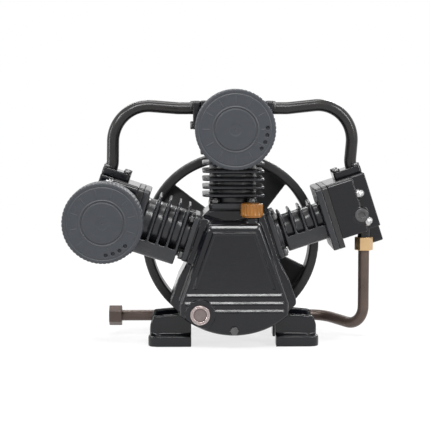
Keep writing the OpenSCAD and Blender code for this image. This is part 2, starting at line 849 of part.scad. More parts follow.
// The plain wall that closes the fins' gaps on the low side of a side cylinder
module plain_skirt(i, side) {
    inner_w = fin_ws[i] - 2 * barrel_wall;
    up(first_fin_z) linear_extrude(barrel_top - first_fin_z) difference() {
        fin_outline(i);
        round_rect(inner_w, inner_w, fin_corner - barrel_wall);
        translate([side * (fin_ws[i] / 2 - skirt_h), 0])
            mirror([side > 0 ? 1 : 0, 0]) translate([0, -fin_ws[i]]) square(2 * fin_ws[i]);
    }
}

function head_studs(i) = i == RIGHT ? [hp_stud_x, hp_stud_y] : [lp_stud_at, lp_stud_at];

module cylinder_body(i) {
    relief_r = spigot_r - barrel_wall * 1.5;
    relief_top = foot_nut_z + barrel_wall / 2;
    color([0.08, 0.08, 0.09]) in_bank(i) difference() {
        union() {
            barrel(i);
            if (i == LEFT) plain_skirt(i, -1);
            if (i == RIGHT) plain_skirt(i, 1);
            if (i == RIGHT) up(foot_z)
                cylinder(r = relief_r + barrel_wall, h = relief_top + barrel_wall - foot_z);
        }
        up(deck_d / 2) cylinder(r = bores[i] / 2, h = barrel_top);
        if (i == RIGHT) up(deck_d / 2) cylinder(r = relief_r, h = relief_top - deck_d / 2);
        up(foot_z - over) corners(foot_stud_x, foot_stud_y)
            cylinder(r = stud_r + bolt_fit, h = foot_flange_t + 2 * over);
        up(barrel_top - head_flange_t - over) corners(head_studs(i)[0], head_studs(i)[1])
            cylinder(r = stud_r, h = head_flange_t + 2 * over);
    }
}

module cylinder_left() { cylinder_body(LEFT); }
module cylinder_centre() { cylinder_body(CENTRE); }
module cylinder_right() { cylinder_body(RIGHT); }

module cylinder_nuts() {
    color([0.45, 0.45, 0.46]) for (i = BANKS) in_bank(i) corners(foot_stud_x, foot_stud_y)
        nutted_stud(deck_d - foot_stud_depth, foot_nut_z, nut_h);
}

module valve_ports(i) {
    port = bores[i] * 0.09;
    for (x = [-1, 0, 1], y = BOTH) translate([x * port * 2.6, y * bores[i] * 0.24]) circle(r = port);
}

module valve_plates() {
    color([0.55, 0.56, 0.58]) for (i = BANKS) in_bank(i) up(plate_z)
        linear_extrude(valve_plate_t) difference() {
            round_rect(head_w, head_w, head_corner);
            corners(head_studs(i)[0], head_studs(i)[1]) circle(r = stud_r + bolt_fit);
            valve_ports(i);
        }
}

// The joint rings below and above each valve plate
module head_gaskets() {
    color([0.35, 0.3, 0.25]) for (i = BANKS) in_bank(i) for (z = [barrel_top, head_z - gasket_t])
        up(z) linear_extrude(gasket_t) difference() {
            round_rect(head_w, head_w, head_corner);
            circle(r = bores[i] / 2 + seat_margin);
            corners(head_studs(i)[0], head_studs(i)[1]) circle(r = stud_r + bolt_fit);
        }
}

module reed(i, side, z) {
    w = bores[i] * 0.72;
    l = bores[i] * 0.3;
    color([0.75, 0.76, 0.78]) in_bank(i) translate([0, side * bores[i] * 0.24, z])
        slab(w, l, reed_t, l * 0.3);
}

// The first stage draws in at the front of its heads and the second stage at the rear
function suction_side(i) = i == RIGHT ? 1 : -1;

module suction_reeds() {
    for (i = BANKS) reed(i, suction_side(i), plate_z - reed_t);
}

module discharge_reeds() {
    for (i = BANKS) reed(i, -suction_side(i), plate_z + valve_plate_t);
}

// Heads

// The outline of a head above its shelves: a cross that leaves the stud corners free
module cross_outline(i) {
    free = head_studs(i)[1] - shelf_cut;
    if (i == RIGHT) intersection() {
        round_rect(head_w, 2 * free, head_corner / 2);
        translate([hp_low_w - head_w, -head_w / 2]) square(head_w);
    } else {
        translate([0, flange_back]) round_rect(head_w, flange_w, head_corner / 2);
        round_rect(2 * free, head_w, head_corner / 2);
    }
}

module head_outline(i) {
    intersection() {
        round_rect(head_w, head_w, head_corner);
        if (i == RIGHT) translate([hp_low_w - 2 * head_w, -head_w]) square(2 * head_w);
        else square(head_w, center = true);
    }
}

// The inside of one chamber of a head; side is -1 for the front one and 1 for the rear one
module chamber(i, side) {
    free = head_studs(i)[1] - shelf_cut - head_wall * 0.6;
    out_x = head_w / 2 - head_wall;
    low_x = i == RIGHT ? hp_low_w - head_wall : out_x;
    arm_half = flange_w / 2 - head_wall * 0.6;
    up(head_z - over) linear_extrude(chamber_z - head_z + over) intersection() {
        union() {
            if (i == RIGHT) translate([-out_x, -free]) square([out_x + low_x, 2 * free]);
            else {
                translate([-free, -out_x]) square([2 * free, 2 * out_x]);
                translate([-out_x, flange_back - arm_half]) square([2 * out_x, 2 * arm_half]);
            }
        }
        translate([-head_w, side > 0 ? chamber_mid_wall / 2 : -head_w])
            square([2 * head_w, head_w - chamber_mid_wall / 2]);
    }
}

// Which sides of a head carry a pipe flange, as signs of x in the cylinder's frame
function flange_sides(i) = i == LEFT ? [1] : i == CENTRE ? [-1, 1] : [-1];
function filter_out(i) = i == LEFT ? left_filter_d : centre_filter_d;
function filter_across(i) = i == LEFT ? -left_filter_drop : 0;

boss_r = 15;
boss_out = head_z + shelf_h * 0.93;
boss_across = 12;
boss_hole_r = 8;
relief_lug_out = 34; // reach of the relief valve's lug beyond the head's low side
relief_lug_h = 28;
relief_lug_l = 54;

module head_solid(i) {
    up(head_z) linear_extrude(shelf_h) head_outline(i);
    up(head_z) linear_extrude(head_h) cross_outline(i);
    if (i == RIGHT) {
        difference() { // the boss leaves room for the nut beside it
            translate([boss_across, 0, boss_out]) y_rod(boss_r, -head_w / 2 - seat_margin, 0);
            up(shelf_z - seat_step) corners(head_studs(i)[0], head_studs(i)[1])
                cylinder(r = hex_r(nut_af) + bolt_fit, h = head_h);
        }
        lug_mid_x = hp_low_w + relief_lug_out / 2 - over;
        translate([lug_mid_x, relief_lug_l / 2 - head_corner, head_top - relief_lug_h])
            slab(relief_lug_out + 2 * over, relief_lug_l, relief_lug_h, head_corner / 2);
        translate([0, discharge_back, discharge_port_z]) x_rod(elbow_r + seat_margin, 0, hp_low_w);
    } else {
        translate([filter_across(i), 0, filter_out(i)])
            y_rod(neck_r + seat_margin, -head_w / 2 - seat_margin, -head_w / 4);
    }
}

module head_body(i) {
    color([0.07, 0.07, 0.08]) in_bank(i) difference() {
        head_solid(i);
        chamber(i, -1);
        chamber(i, 1);
        up(head_z - over) corners(head_studs(i)[0], head_studs(i)[1])
            cylinder(r = stud_r + bolt_fit, h = head_h);
        for (side = flange_sides(i)) translate([0, flange_back, 0]) {
            up(pipe_z) side_rod(port_r, side, head_w / 2 - head_wall - over, head_w);
            flange_bolt_places() side_rod(flange_bolt_r, side, head_w / 2 - flange_bolt_grip, head_w);
        }
        if (i == RIGHT) {
            translate([boss_across, 0, boss_out]) y_rod(boss_hole_r, -head_w, -head_w / 4);
            translate([0, discharge_back, discharge_port_z])
                x_rod(elbow_r - pipe_wall - seat_margin, 0, head_w);
        } else {
            translate([filter_across(i), 0, filter_out(i)]) y_rod(neck_r - filter_wall, -head_w, -head_w / 4);
            translate([filter_across(i), 0, filter_out(i)])
                y_rod(neck_r, -head_w, -head_w / 2 + neck_in - seat_margin);
        }
    }
}

// Places its children at the four bolts of a pipe flange, in a cylinder's frame
module flange_bolt_places() {
    for (dy = BOTH, dz = BOTH)
        translate([0, dy * flange_bolt_dy, flange_z + dz * flange_bolt_dz]) children();
}

module head_left() { head_body(LEFT); }
module head_centre() { head_body(CENTRE); }
module head_right() { head_body(RIGHT); }

module cylinder_base_gaskets() {
    color([0.35, 0.3, 0.25]) for (i = BANKS) in_bank(i) up(deck_d)
        linear_extrude(gasket_t) difference() {
            round_rect(foot_flange_w, foot_flange_l, head_corner);
            circle(r = spigot_r + bolt_fit);
            corners(foot_stud_x, foot_stud_y) circle(r = stud_r + bolt_fit);
        }
}

module head_nuts() {
    color([0.75, 0.74, 0.72]) for (i = BANKS) in_bank(i)
        corners(head_studs(i)[0], head_studs(i)[1])
            domed_nut(barrel_top - head_flange_t, shelf_z);
}

module head_plug() {
    plug_r = boss_r - seat_margin;
    plug_t = 5;
    color([0.12, 0.12, 0.13]) in_bank(RIGHT) translate([boss_across, 0, boss_out]) difference() {
        union() {
            y_rod(plug_r, -head_w / 2 - seat_margin - plug_t, -head_w / 2 - seat_margin);
            y_rod(boss_hole_r, -head_w / 2 - seat_margin - over, -head_w / 2 + head_wall);
        }
        translate([0, -head_w / 2 - seat_margin - plug_t - over, 0]) rotate([-90, 0, 0])
            cylinder(r = hex_r(plug_r), h = plug_t, $fn = HEX);
    }
}

// Suction filters

// Places its children at a filter's middle, with y still along the crank
module at_filter(i) {
    in_bank(i) translate([filter_across(i), 0, filter_out(i)]) rotate([0, -bank_degs[i], 0]) children();
}

air_hole_turns = [3, -10, -23, -36];
air_hole_at_share = 0.79;
flute_count = 60;
filter_skirt_l = 44;

// A cup with a scalloped edge, a ring groove and a row of air holes in its face
module filter_cover(i) {
    turn = i == LEFT ? -48 : 0;
    face_y = -filter_reach;
    flute_r = filter_r * 0.03;
    color([0.26, 0.28, 0.30]) at_filter(i) rotate([0, -turn, 0]) difference() {
        union() {
            y_rod(filter_r, face_y + filter_wall, face_y + filter_skirt_l);
            y_rod(filter_r - filter_wall, face_y + filter_wall * 0.3, face_y + filter_wall * 2);
            y_rod(filter_r * 0.58, face_y, face_y + filter_wall * 2);
        }
        y_rod(filter_r - filter_wall, face_y + 2 * filter_wall, face_y + filter_depth);
        difference() {
            y_rod(filter_r * 0.55, face_y - over, face_y + filter_wall * 0.5);
            y_rod(filter_r * 0.50, face_y - 2 * over, face_y + filter_wall);
        }
        for (a = air_hole_turns) rotate([0, -a, 0]) translate([filter_r * air_hole_at_share, 0, 0])
            y_rod(air_hole_d / 2, face_y - over, face_y + 3 * filter_wall);
        for (k = [0 : flute_count - 1]) rotate([0, k * 360 / flute_count, 0])
            translate([filter_r + flute_r * 0.6, 0, 0])
                y_rod(flute_r, face_y, face_y + filter_skirt_l + over);
    }
}

module filter_cover_left() { filter_cover(LEFT); }
module filter_cover_centre() { filter_cover(CENTRE); }

module filter_bases() {
    plate_y = -filter_reach + filter_skirt_l;
    color([0.2, 0.21, 0.23]) for (i = [LEFT, CENTRE]) at_filter(i) difference() {
        union() {
            y_rod(filter_r, plate_y, plate_y + filter_base_l);
            y_rod(filter_r - filter_wall - bolt_fit, plate_y - filter_base_l, plate_y + over);
            y_rod(filter_r * 0.6, plate_y, filter_back_y);
            y_rod(neck_r, plate_y, -head_w / 2 + neck_in - seat_margin);
        }
        y_rod(neck_r - filter_wall, plate_y - filter_depth, 0);
        y_rod(filter_r - 2 * filter_wall, plate_y - filter_depth, plate_y);
    }
}

module filter_elements() {
    plate_y = -filter_reach + filter_skirt_l;
    color([0.85, 0.82, 0.7]) for (i = [LEFT, CENTRE]) at_filter(i) difference() {
        y_rod(filter_r * 0.84, -filter_reach + 2 * filter_wall, plate_y);
        y_rod(filter_r * 0.5, -filter_reach, plate_y + over);
    }
}

// Pipes

lead = 22; // straight length of a pipe at its flange
left_route = [
    bank_point(LEFT, head_w / 2, flange_back, pipe_z),
    bank_point(LEFT, head_w / 2 + lead, flange_back, pipe_z),
    [-left_corner_x, flange_back - rod_pitch * 0.9, left_corner_h],
    bank_point(CENTRE, -head_w / 2 - 2 * lead, flange_back, pipe_z),
    bank_point(CENTRE, -head_w / 2, flange_back, pipe_z)
];
right_route = [
    bank_point(CENTRE, head_w / 2, flange_back, pipe_z),
    bank_point(CENTRE, head_w / 2 + 2 * lead, flange_back, pipe_z),
    [right_corner_x, flange_back + rod_pitch * 0.9, right_corner_h],
    bank_point(RIGHT, -head_w / 2 - lead, flange_back, pipe_z),
    bank_point(RIGHT, -head_w / 2, flange_back, pipe_z)
];
soft_bend_r = 40;

module interstage_pipe(route, big) {
    radii = [for (k = [0 : len(route) - 1]) k == big ? pipe_bend_r : soft_bend_r];
    color([0.16, 0.14, 0.12]) bent_pipe(route, radii, pipe_r, pipe_r - pipe_wall);
}

module interstage_pipe_left() { interstage_pipe(left_route, 2); }
module interstage_pipe_right() { interstage_pipe(right_route, 2); }

// One flange plate on side s of head i, bored for its pipe
module pipe_flange(i, s) {
    in_bank(i) translate([s * head_w / 2, flange_back, flange_z]) rotate([0, s * 90, 0]) difference() {
        slab(flange_l, flange_w, flange_t, flange_corner);
        translate([-s * pipe_offset, 0, -over]) cylinder(r = pipe_r, h = flange_t + 2 * over);
        up(-over) corners(flange_bolt_dz, flange_bolt_dy)
            cylinder(r = flange_bolt_r + bolt_fit, h = flange_t + 2 * over);
    }
}

module pipe_flanges() {
    color([0.09, 0.09, 0.1]) for (i = BANKS) for (s = flange_sides(i)) pipe_flange(i, s);
}

module flange_bolts() {
    flange_bolt_head = 5.5;
    color([0.3, 0.3, 0.32]) for (i = BANKS) for (s = flange_sides(i))
        in_bank(i) translate([s * (head_w / 2 + flange_t), flange_back, flange_z]) rotate([0, s * 90, 0])
            corners(flange_bolt_dz, flange_bolt_dy)
                bolt(flange_bolt_r, flange_bolt_af, flange_bolt_head, flange_t + flange_bolt_grip - over);
}

elbow_point = bank_point(RIGHT, hp_low_w + elbow_drop, discharge_back, discharge_port_z);
nut_drop = elbow_r * 0.75; // how far the union nut's top lies below the elbow's middle
union_top = elbow_point[2] - nut_drop;
discharge_route = [
    [elbow_point[0], elbow_point[1], union_top - union_h / 3],
    [elbow_point[0], elbow_point[1], discharge_low_h],
    [discharge_corner_x, discharge_run_y, discharge_run_h],
    [-discharge_end_x, discharge_run_y, discharge_run_h]
];
discharge_bend_r = 38;

// The elbow that leads from the second-stage head's low side into the upright pipe
module discharge_elbow() {
    color([0.09, 0.09, 0.1]) difference() {
        union() {
            in_bank(RIGHT) translate([0, discharge_back, discharge_port_z])
                x_rod(elbow_r - elbow_step, hp_low_w - over, hp_low_w + elbow_drop);
            translate(elbow_point) sphere(r = elbow_r);
            translate([elbow_point[0], elbow_point[1], union_top - union_h / 3])
                cylinder(r = elbow_r - elbow_step, h = nut_drop + union_h / 3);
        }
        in_bank(RIGHT) translate([0, discharge_back, discharge_port_z]) {
            x_rod(discharge_r - pipe_wall, hp_low_w - over, hp_low_w + elbow_drop);
            x_rod(2 * elbow_r, hp_low_w - 2 * elbow_r, hp_low_w); // flat seat on the head
        }
        translate([elbow_point[0], elbow_point[1], union_top - union_h])
            cylinder(r = discharge_r - pipe_wall - elbow_step, h = union_h + nut_drop);
    }
}

module discharge_nut() {
    color([0.80, 0.58, 0.40]) difference() {
        translate([elbow_point[0], elbow_point[1], union_top - union_h]) hexagon(union_af, union_h);
        translate([elbow_point[0], elbow_point[1], union_top - union_h / 3])
            cylinder(r = elbow_r - elbow_step, h = union_h);
        translate([elbow_point[0], elbow_point[1], union_top - union_h - over])
            cylinder(r = discharge_r, h = union_h);
    }
}

module discharge_pipe() {
    radii = [0, discharge_bend_r, discharge_bend_r * 1.5, 0];
    color([0.30, 0.25, 0.22]) bent_pipe(discharge_route, radii, discharge_r, discharge_r - pipe_wall);
}

module outlet_nut() {
    outlet_nut_af = union_af + 2 * seat_margin;
    color([0.35, 0.3, 0.26]) translate([-discharge_end_x - pipe_wall, discharge_run_y, discharge_run_h])
        difference() {
            rotate([0, 90, 0]) hexagon(outlet_nut_af, union_h);
            x_rod(discharge_r, -over, union_h + over);
        }
}

// Crankshaft and flywheel

web_eye_r = 25;

// One crank web: an eye round the pin, a waist, and a counterweight sector below
module web(y0) {
    along_y(y0, y0 + web_t) {
        translate([0, crank_r]) circle(r = web_eye_r);
        intersection() {
            circle(r = counterweight_r);
            polygon([
                [-web_eye_r, crank_r], [web_eye_r, crank_r],
                [counterweight_r * 0.62, 0], [counterweight_r, -counterweight_r * 0.3],
                [counterweight_r, -counterweight_r], [-counterweight_r, -counterweight_r],
                [-counterweight_r, -counterweight_r * 0.3], [-counterweight_r * 0.62, 0]
            ]);
        }
    }
}

module crankshaft() {
    color([0.62, 0.62, 0.64]) at_crank() difference() {
        union() {
            y_rod(journal_r, -bearing_out, -web_out + over);
            web(-web_out);
            web(web_in);
            y_rod(journal_r, web_out - over, hub_y);
            y_rod(seat_r, hub_y - over, hub_end_y - turn_gap);
            translate([0, 0, crank_r]) {
                y_rod(crank_pin_r, -web_in - over, -web_in + pin_root_l);
                y_rod(crank_pin_r, web_in - pin_root_l, web_in + over);
            }
        }
        y_rod(end_bolt_r, hub_end_y - end_bolt_l, hub_end_y + over);
        translate([0, hub_y + key_l / 2 + turn_gap, seat_r]) cube([key_w, key_l, key_h], center = true);
    }
}

module flywheel_key() {
    color([0.5, 0.5, 0.52]) at_crank()
        translate([0, hub_y + key_l / 2 + turn_gap, seat_r]) cube([key_w, key_l, key_h], center = true);
}

// The rim's profile, with its V grooves cut from the outside; x is the radius
module rim_profile() {
    land = (wheel_w - grooves * groove_w) / (grooves + 1);
    difference() {
        translate([wheel_r - rim_t, 0]) square([rim_t, wheel_w]);
        for (k = [0 : grooves - 1]) translate([wheel_r, land + k * (groove_w + land)]) polygon([
            [over, 0], [0, 0], [-groove_depth, groove_w * 0.22],
            [-groove_depth, groove_w * 0.78], [0, groove_w], [over, groove_w]
        ]);
    }
}

// A tapered spoke whose flat blade is pitched like a fan's
module spoke() {
    reach = wheel_r - rim_t + seat_margin;
    intersection() {
        translate([0, wheel_y + wheel_w / 2, 0]) rotate([0, 0, spoke_pitch])
            translate([-spoke_rim_w, -spoke_t / 2, 0]) union() {
                translate([spoke_rim_w, spoke_t, 0]) rotate([90, 0, 0]) linear_extrude(spoke_t)
                    polygon([
                        [-spoke_hub_w / 2, 0], [spoke_hub_w / 2, 0],
                        [spoke_rim_w / 2, reach], [-spoke_rim_w / 2, reach]
                    ]);
            }
        difference() {
            y_rod(reach, wheel_y, wheel_y + wheel_w);
            y_rod(hub_r - over, wheel_y - over, wheel_y + wheel_w + over);
        }
    }
}

module flywheel() {
    color([0.08, 0.08, 0.09]) at_crank() difference() {
        union() {
            translate([0, wheel_y, 0]) rotate([-90, 0, 0]) rotate_extrude() rim_profile();
            y_rod(hub_r, hub_y, hub_end_y);
            for (k = [0 : spokes - 1]) rotate([0, 90 - spoke_turn + k * 360 / spokes, 0]) spoke();
        }
        y_rod(seat_r, hub_y - over, hub_end_y + over);
        translate([0, hub_y + hub_l / 2, seat_r]) cube([key_w, hub_l + 2 * over, key_h], center = true);
    }
}

module flywheel_washer() {
    color([0.6, 0.6, 0.62]) at_crank() difference() {
        y_rod(washer_r, hub_end_y, hub_end_y + washer_t);
        y_rod(end_bolt_r + bolt_fit, hub_end_y - over, hub_end_y + washer_t + over);
    }
}

module flywheel_bolt() {
    end_bolt_head = 8;
    color([0.4, 0.4, 0.42]) at_crank() translate([0, hub_end_y + washer_t, 0]) rotate([-90, 0, 0])
        bolt(end_bolt_r, end_bolt_af, end_bolt_head, end_bolt_l + washer_t - over);
}

// Pistons and rods

module piston(i) {
    r = bores[i] / 2;
    room_r = r - skirt_t;
    boss_half = rod_t / 2 + turn_gap * 0.6;
    color([0.75, 0.76, 0.77]) in_bank(i) up(pin_out(i)) difference() {
        up(-piston_skirt_h) cylinder(r = r - run_fit, h = piston_skirt_h + crown_h);
        difference() {
            up(-piston_skirt_h - over) cylinder(r = room_r, h = piston_skirt_h + crown_h - crown_t + over);
            y_rod(small_eye_r, boss_half, r);
            y_rod(small_eye_r, -r, -boss_half);
        }
        y_rod(gudgeon_r, -r, r);
        for (k = [0 : 2]) ring_places(k) difference() {
            cylinder(r = r + over, h = ring_h);
            up(-over) cylinder(r = r - ring_groove, h = ring_h + 2 * over);
        }
    }
}

// The height of ring k above the gudgeon pin
module ring_places(k) {
    up(crown_h - (k + 1) * 2.4 * ring_h) children();
}

module piston_rings(i) {
    r = bores[i] / 2;
    color([0.35, 0.35, 0.37]) in_bank(i) up(pin_out(i)) for (k = [0 : 2]) ring_places(k) difference() {
        cylinder(r = r - run_fit, h = ring_h);
        up(-over) cylinder(r = r - ring_groove, h = ring_h + 2 * over);
    }
}

module gudgeon_pin(i) {
    r = bores[i] / 2;
    half = sqrt(pow(r, 2) - pow(gudgeon_r, 2)) - seat_margin;
    color([0.7, 0.7, 0.72]) in_bank(i) up(pin_out(i)) y_rod(gudgeon_r, -half, half);
}

// Places its children at a gudgeon pin, with -z along the rod towards the crank pin
module at_rod(i) {
    in_bank(i) up(pin_out(i)) rotate([0, rod_swing(i), 0]) children();
}

cap_head_ratio = 1.6; // radius of a rod bolt's head over that of its shank

// The bolts of a rod cap, on both sides of the crank pin
module cap_bolts(r, head, up_l, down_l) {
    bolt_x = cap_half_w - rod_bolt_r * 1.7;
    for (side = BOTH) translate([side * bolt_x, 0, 0]) {
        up(-down_l) cylinder(r = r, h = up_l + down_l);
        if (head > 0) up(-down_l - head) cylinder(r = r * cap_head_ratio, h = head);
    }
}

cap_lug_h = 6;

module big_eye(side) {
    intersection() {
        union() {
            y_rod(big_eye_r, -rod_t / 2, rod_t / 2);
            cube([2 * cap_half_w, rod_t * 0.7, 2 * cap_lug_h], center = true);
        }
        translate([-big_eye_r * 2, -rod_t, side > 0 ? 0 : -big_eye_r * 2])
            cube([big_eye_r * 4, 2 * rod_t, big_eye_r * 2]);
    }
}

module connecting_rod(i) {
    groove = rod_t * 0.2;
    shank_half_t = rod_t * 0.35;
    shank_low_w = shank_half_w * 1.35;
    color([0.55, 0.56, 0.58]) at_rod(i) difference() {
        union() {
            y_rod(small_eye_r, -rod_t / 2, rod_t / 2);
            up(-rod_l) big_eye(1);
            along_y(-shank_half_t, shank_half_t) polygon([
                [-shank_half_w, -gudgeon_r], [shank_half_w, -gudgeon_r],
                [shank_low_w, -rod_l + crank_pin_r], [-shank_low_w, -rod_l + crank_pin_r]
            ]);
        }
        for (m = [0, 1]) mirror([0, m, 0]) along_y(shank_half_t - groove, shank_half_t + over)
            polygon([
                [-shank_half_w * 0.5, -small_eye_r - over], [shank_half_w * 0.5, -small_eye_r - over],
                [shank_low_w * 0.55, -rod_l + big_eye_r + over],
                [-shank_low_w * 0.55, -rod_l + big_eye_r + over]
            ]);
        y_rod(gudgeon_r + run_fit, -rod_t, rod_t);
        up(-rod_l) y_rod(crank_pin_r, -rod_t, rod_t);
        up(-rod_l) cap_bolts(rod_bolt_r, 0, cap_lug_h + over, over);
    }
}

module rod_cap(i) {
    bolt_head = 3;
    color([0.5, 0.51, 0.53]) at_rod(i) up(-rod_l) {
        difference() {
            big_eye(-1);
            y_rod(crank_pin_r, -rod_t, rod_t);
            cap_bolts(rod_bolt_r + bolt_fit, 0, cap_lug_h, cap_lug_h + over);
            cap_bolts(rod_bolt_r * cap_head_ratio + bolt_fit, 0, -cap_lug_h, big_eye_r); // spot faces
        }
        cap_bolts(rod_bolt_r, bolt_head, cap_lug_h, cap_lug_h + run_fit);
    }
}

// The length of the crank pin that one rod grips
module crank_pin(i) {
    half = rod_pitch / 2 - turn_gap * 0.1;
    color([0.65, 0.65, 0.67]) translate([0, stations[i], crank_h + crank_r]) y_rod(crank_pin_r, -half, half);
}

module piston_left() { piston(LEFT); }
module piston_centre() { piston(CENTRE); }
module piston_right() { piston(RIGHT); }
module piston_rings_left() { piston_rings(LEFT); }
module piston_rings_centre() { piston_rings(CENTRE); }
module piston_rings_right() { piston_rings(RIGHT); }
module gudgeon_pin_left() { gudgeon_pin(LEFT); }
module gudgeon_pin_centre() { gudgeon_pin(CENTRE); }
module gudgeon_pin_right() { gudgeon_pin(RIGHT); }
module connecting_rod_left() { connecting_rod(LEFT); }
module connecting_rod_centre() { connecting_rod(CENTRE); }
module connecting_rod_right() { connecting_rod(RIGHT); }
module rod_cap_left() { rod_cap(LEFT); }
module rod_cap_centre() { rod_cap(CENTRE); }
module rod_cap_right() { rod_cap(RIGHT); }
module crank_pin_left() { crank_pin(LEFT); }
module crank_pin_centre() { crank_pin(CENTRE); }
module crank_pin_right() { crank_pin(RIGHT); }

crankcase();
filler_plug();
sight_glass_ring();
sight_glass_lens();
drain_plug();
rear_bearing_cover();
rear_cover_gasket();
rear_cover_bolts();
main_bearings();
oil_seal();
cylinder_left();
cylinder_centre();
cylinder_right();
cylinder_nuts();
cylinder_base_gaskets();
valve_plates();
head_gaskets();
suction_reeds();
discharge_reeds();
head_left();
head_centre();
head_right();
head_nuts();
head_plug();
filter_cover_left();
filter_cover_centre();
filter_bases();
filter_elements();
interstage_pipe_left();
interstage_pipe_right();
pipe_flanges();
flange_bolts();
discharge_elbow();
discharge_nut();
discharge_pipe();
outlet_nut();
crankshaft();
flywheel();
flywheel_key();
flywheel_washer();
flywheel_bolt();
piston_left();
piston_centre();
piston_right();
piston_rings_left();
piston_rings_centre();
piston_rings_right();
gudgeon_pin_left();
gudgeon_pin_centre();
gudgeon_pin_right();
connecting_rod_left();
connecting_rod_centre();
connecting_rod_right();
rod_cap_left();
rod_cap_centre();
rod_cap_right();
crank_pin_left();
crank_pin_centre();
crank_pin_right();
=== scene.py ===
"""Looks of a two-stage air compressor pump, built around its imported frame.

Lengths are in metres. X runs to the right, Y to the rear and Z up. Each cylinder has a frame of
its own: x across the cylinder, y along the crank and z outwards from the crank axis.
"""

import logging
import math
from collections.abc import Callable, Iterator, Sequence
from contextlib import contextmanager
from dataclasses import dataclass
from enum import Enum

import bmesh
import bpy
import numpy as np
from mathutils import Matrix, Vector


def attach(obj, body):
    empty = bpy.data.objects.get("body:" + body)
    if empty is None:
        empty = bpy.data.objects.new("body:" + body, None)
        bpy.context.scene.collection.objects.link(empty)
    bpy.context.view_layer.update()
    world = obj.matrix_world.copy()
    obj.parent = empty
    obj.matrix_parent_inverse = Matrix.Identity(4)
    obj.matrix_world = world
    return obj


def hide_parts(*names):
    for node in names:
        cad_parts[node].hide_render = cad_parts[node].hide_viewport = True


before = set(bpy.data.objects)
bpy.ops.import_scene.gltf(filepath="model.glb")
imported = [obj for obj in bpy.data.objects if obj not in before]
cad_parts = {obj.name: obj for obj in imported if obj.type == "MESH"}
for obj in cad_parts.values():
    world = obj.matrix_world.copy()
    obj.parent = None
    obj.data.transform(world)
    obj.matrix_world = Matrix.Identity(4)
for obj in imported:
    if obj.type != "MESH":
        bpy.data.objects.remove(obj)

log = logging.getLogger("pump")

CRANK_H = 0.185
Colour = tuple[float, float, float]
Point = tuple[float, float, float]
Span = tuple[float, float]
Piece = bpy.types.Object
Socket = bpy.types.NodeSocket


# Shapes


def placed(points: np.ndarray, matrix: Matrix) -> np.ndarray:
    """Carries points into the row frame.

    Args:
        points: An array whose last axis holds x, y and z.
        matrix: The 4 by 4 transform from the points' own frame.

    Returns:
        The moved points, with the same shape.
    """
    m = np.array(matrix)
    return points @ m[:3, :3].T + m[:3, 3]


@contextmanager
def edited(mesh: bpy.types.Mesh) -> Iterator[bmesh.types.BMesh]:
    """Opens a mesh for editing and writes it back afterwards."""
    bm = bmesh.new()
    bm.from_mesh(mesh)
    yield bm
    bm.to_mesh(mesh)
    bm.free()


def merge_doubles(bm: bmesh.types.BMesh, distance: float) -> None:
    """Makes one vertex of those that lie closer than a distance, and drops edges of no length."""
    bmesh.ops.remove_doubles(bm, verts=bm.verts, dist=distance)
    bmesh.ops.dissolve_degenerate(bm, edges=bm.edges, dist=distance)


def linked(name: str, mesh: bpy.types.Mesh) -> Piece:
    """Links a mesh as a smooth object at the origin."""
    obj = bpy.data.objects.new(name, mesh)
    bpy.context.scene.collection.objects.link(obj)
    mesh.shade_smooth()
    return obj


def grid_object(name: str, points: np.ndarray, closed_u: bool = False, closed_v: bool = True) -> Piece:
    """Makes one mesh from a grid of points, with its doubles merged and its faces turned out.

    Args:
        name: The new object's name.
        points: An array of shape (rows, columns, 3).
        closed_u: Joins the last row to the first.
        closed_v: Joins the last column to the first.

    Returns:
        The linked object, at the origin.
    """
    rows, cols = points.shape[:2]
    u = np.arange(rows if closed_u else rows - 1)
    v = np.arange(cols if closed_v else cols - 1)
    a, b = np.meshgrid(u, v, indexing="ij")
    a2, b2 = (a + 1) % rows, (b + 1) % cols
    faces = np.stack([a * cols + b, a2 * cols + b, a2 * cols + b2, a * cols + b2], -1).reshape(-1, 4)
    mesh = bpy.data.meshes.new(name)
    mesh.from_pydata(points.reshape(-1, 3).tolist(), [], faces.tolist())
    with edited(mesh) as bm:
        merge_doubles(bm, 1e-6)
        bmesh.ops.recalc_face_normals(bm, faces=bm.faces)
    return linked(name, mesh)


def revolved(
    profile: np.ndarray,
    steps: int,
    radius_shift: Callable[[np.ndarray, np.ndarray], np.ndarray] | None = None,
) -> np.ndarray:
    """Turns a profile about the z axis: x = r cos a, y = r sin a, z = height.

    Args:
        profile: Rows of radius and height.
        steps: Number of columns round the axis.
        radius_shift: Adds to the radius; called with the angle and the row number as arrays.

    Returns:
        Points of shape (rows, steps, 3).
    """
    angle = np.linspace(0, 2 * math.pi, steps, endpoint=False)[None, :]
    r = np.repeat(profile[:, :1], steps, 1)
    if radius_shift is not None:
        r = r + radius_shift(angle, np.arange(len(profile))[:, None])
    z = np.repeat(profile[:, 1:2], steps, 1)
    return np.stack([r * np.cos(angle), r * np.sin(angle), z], -1)


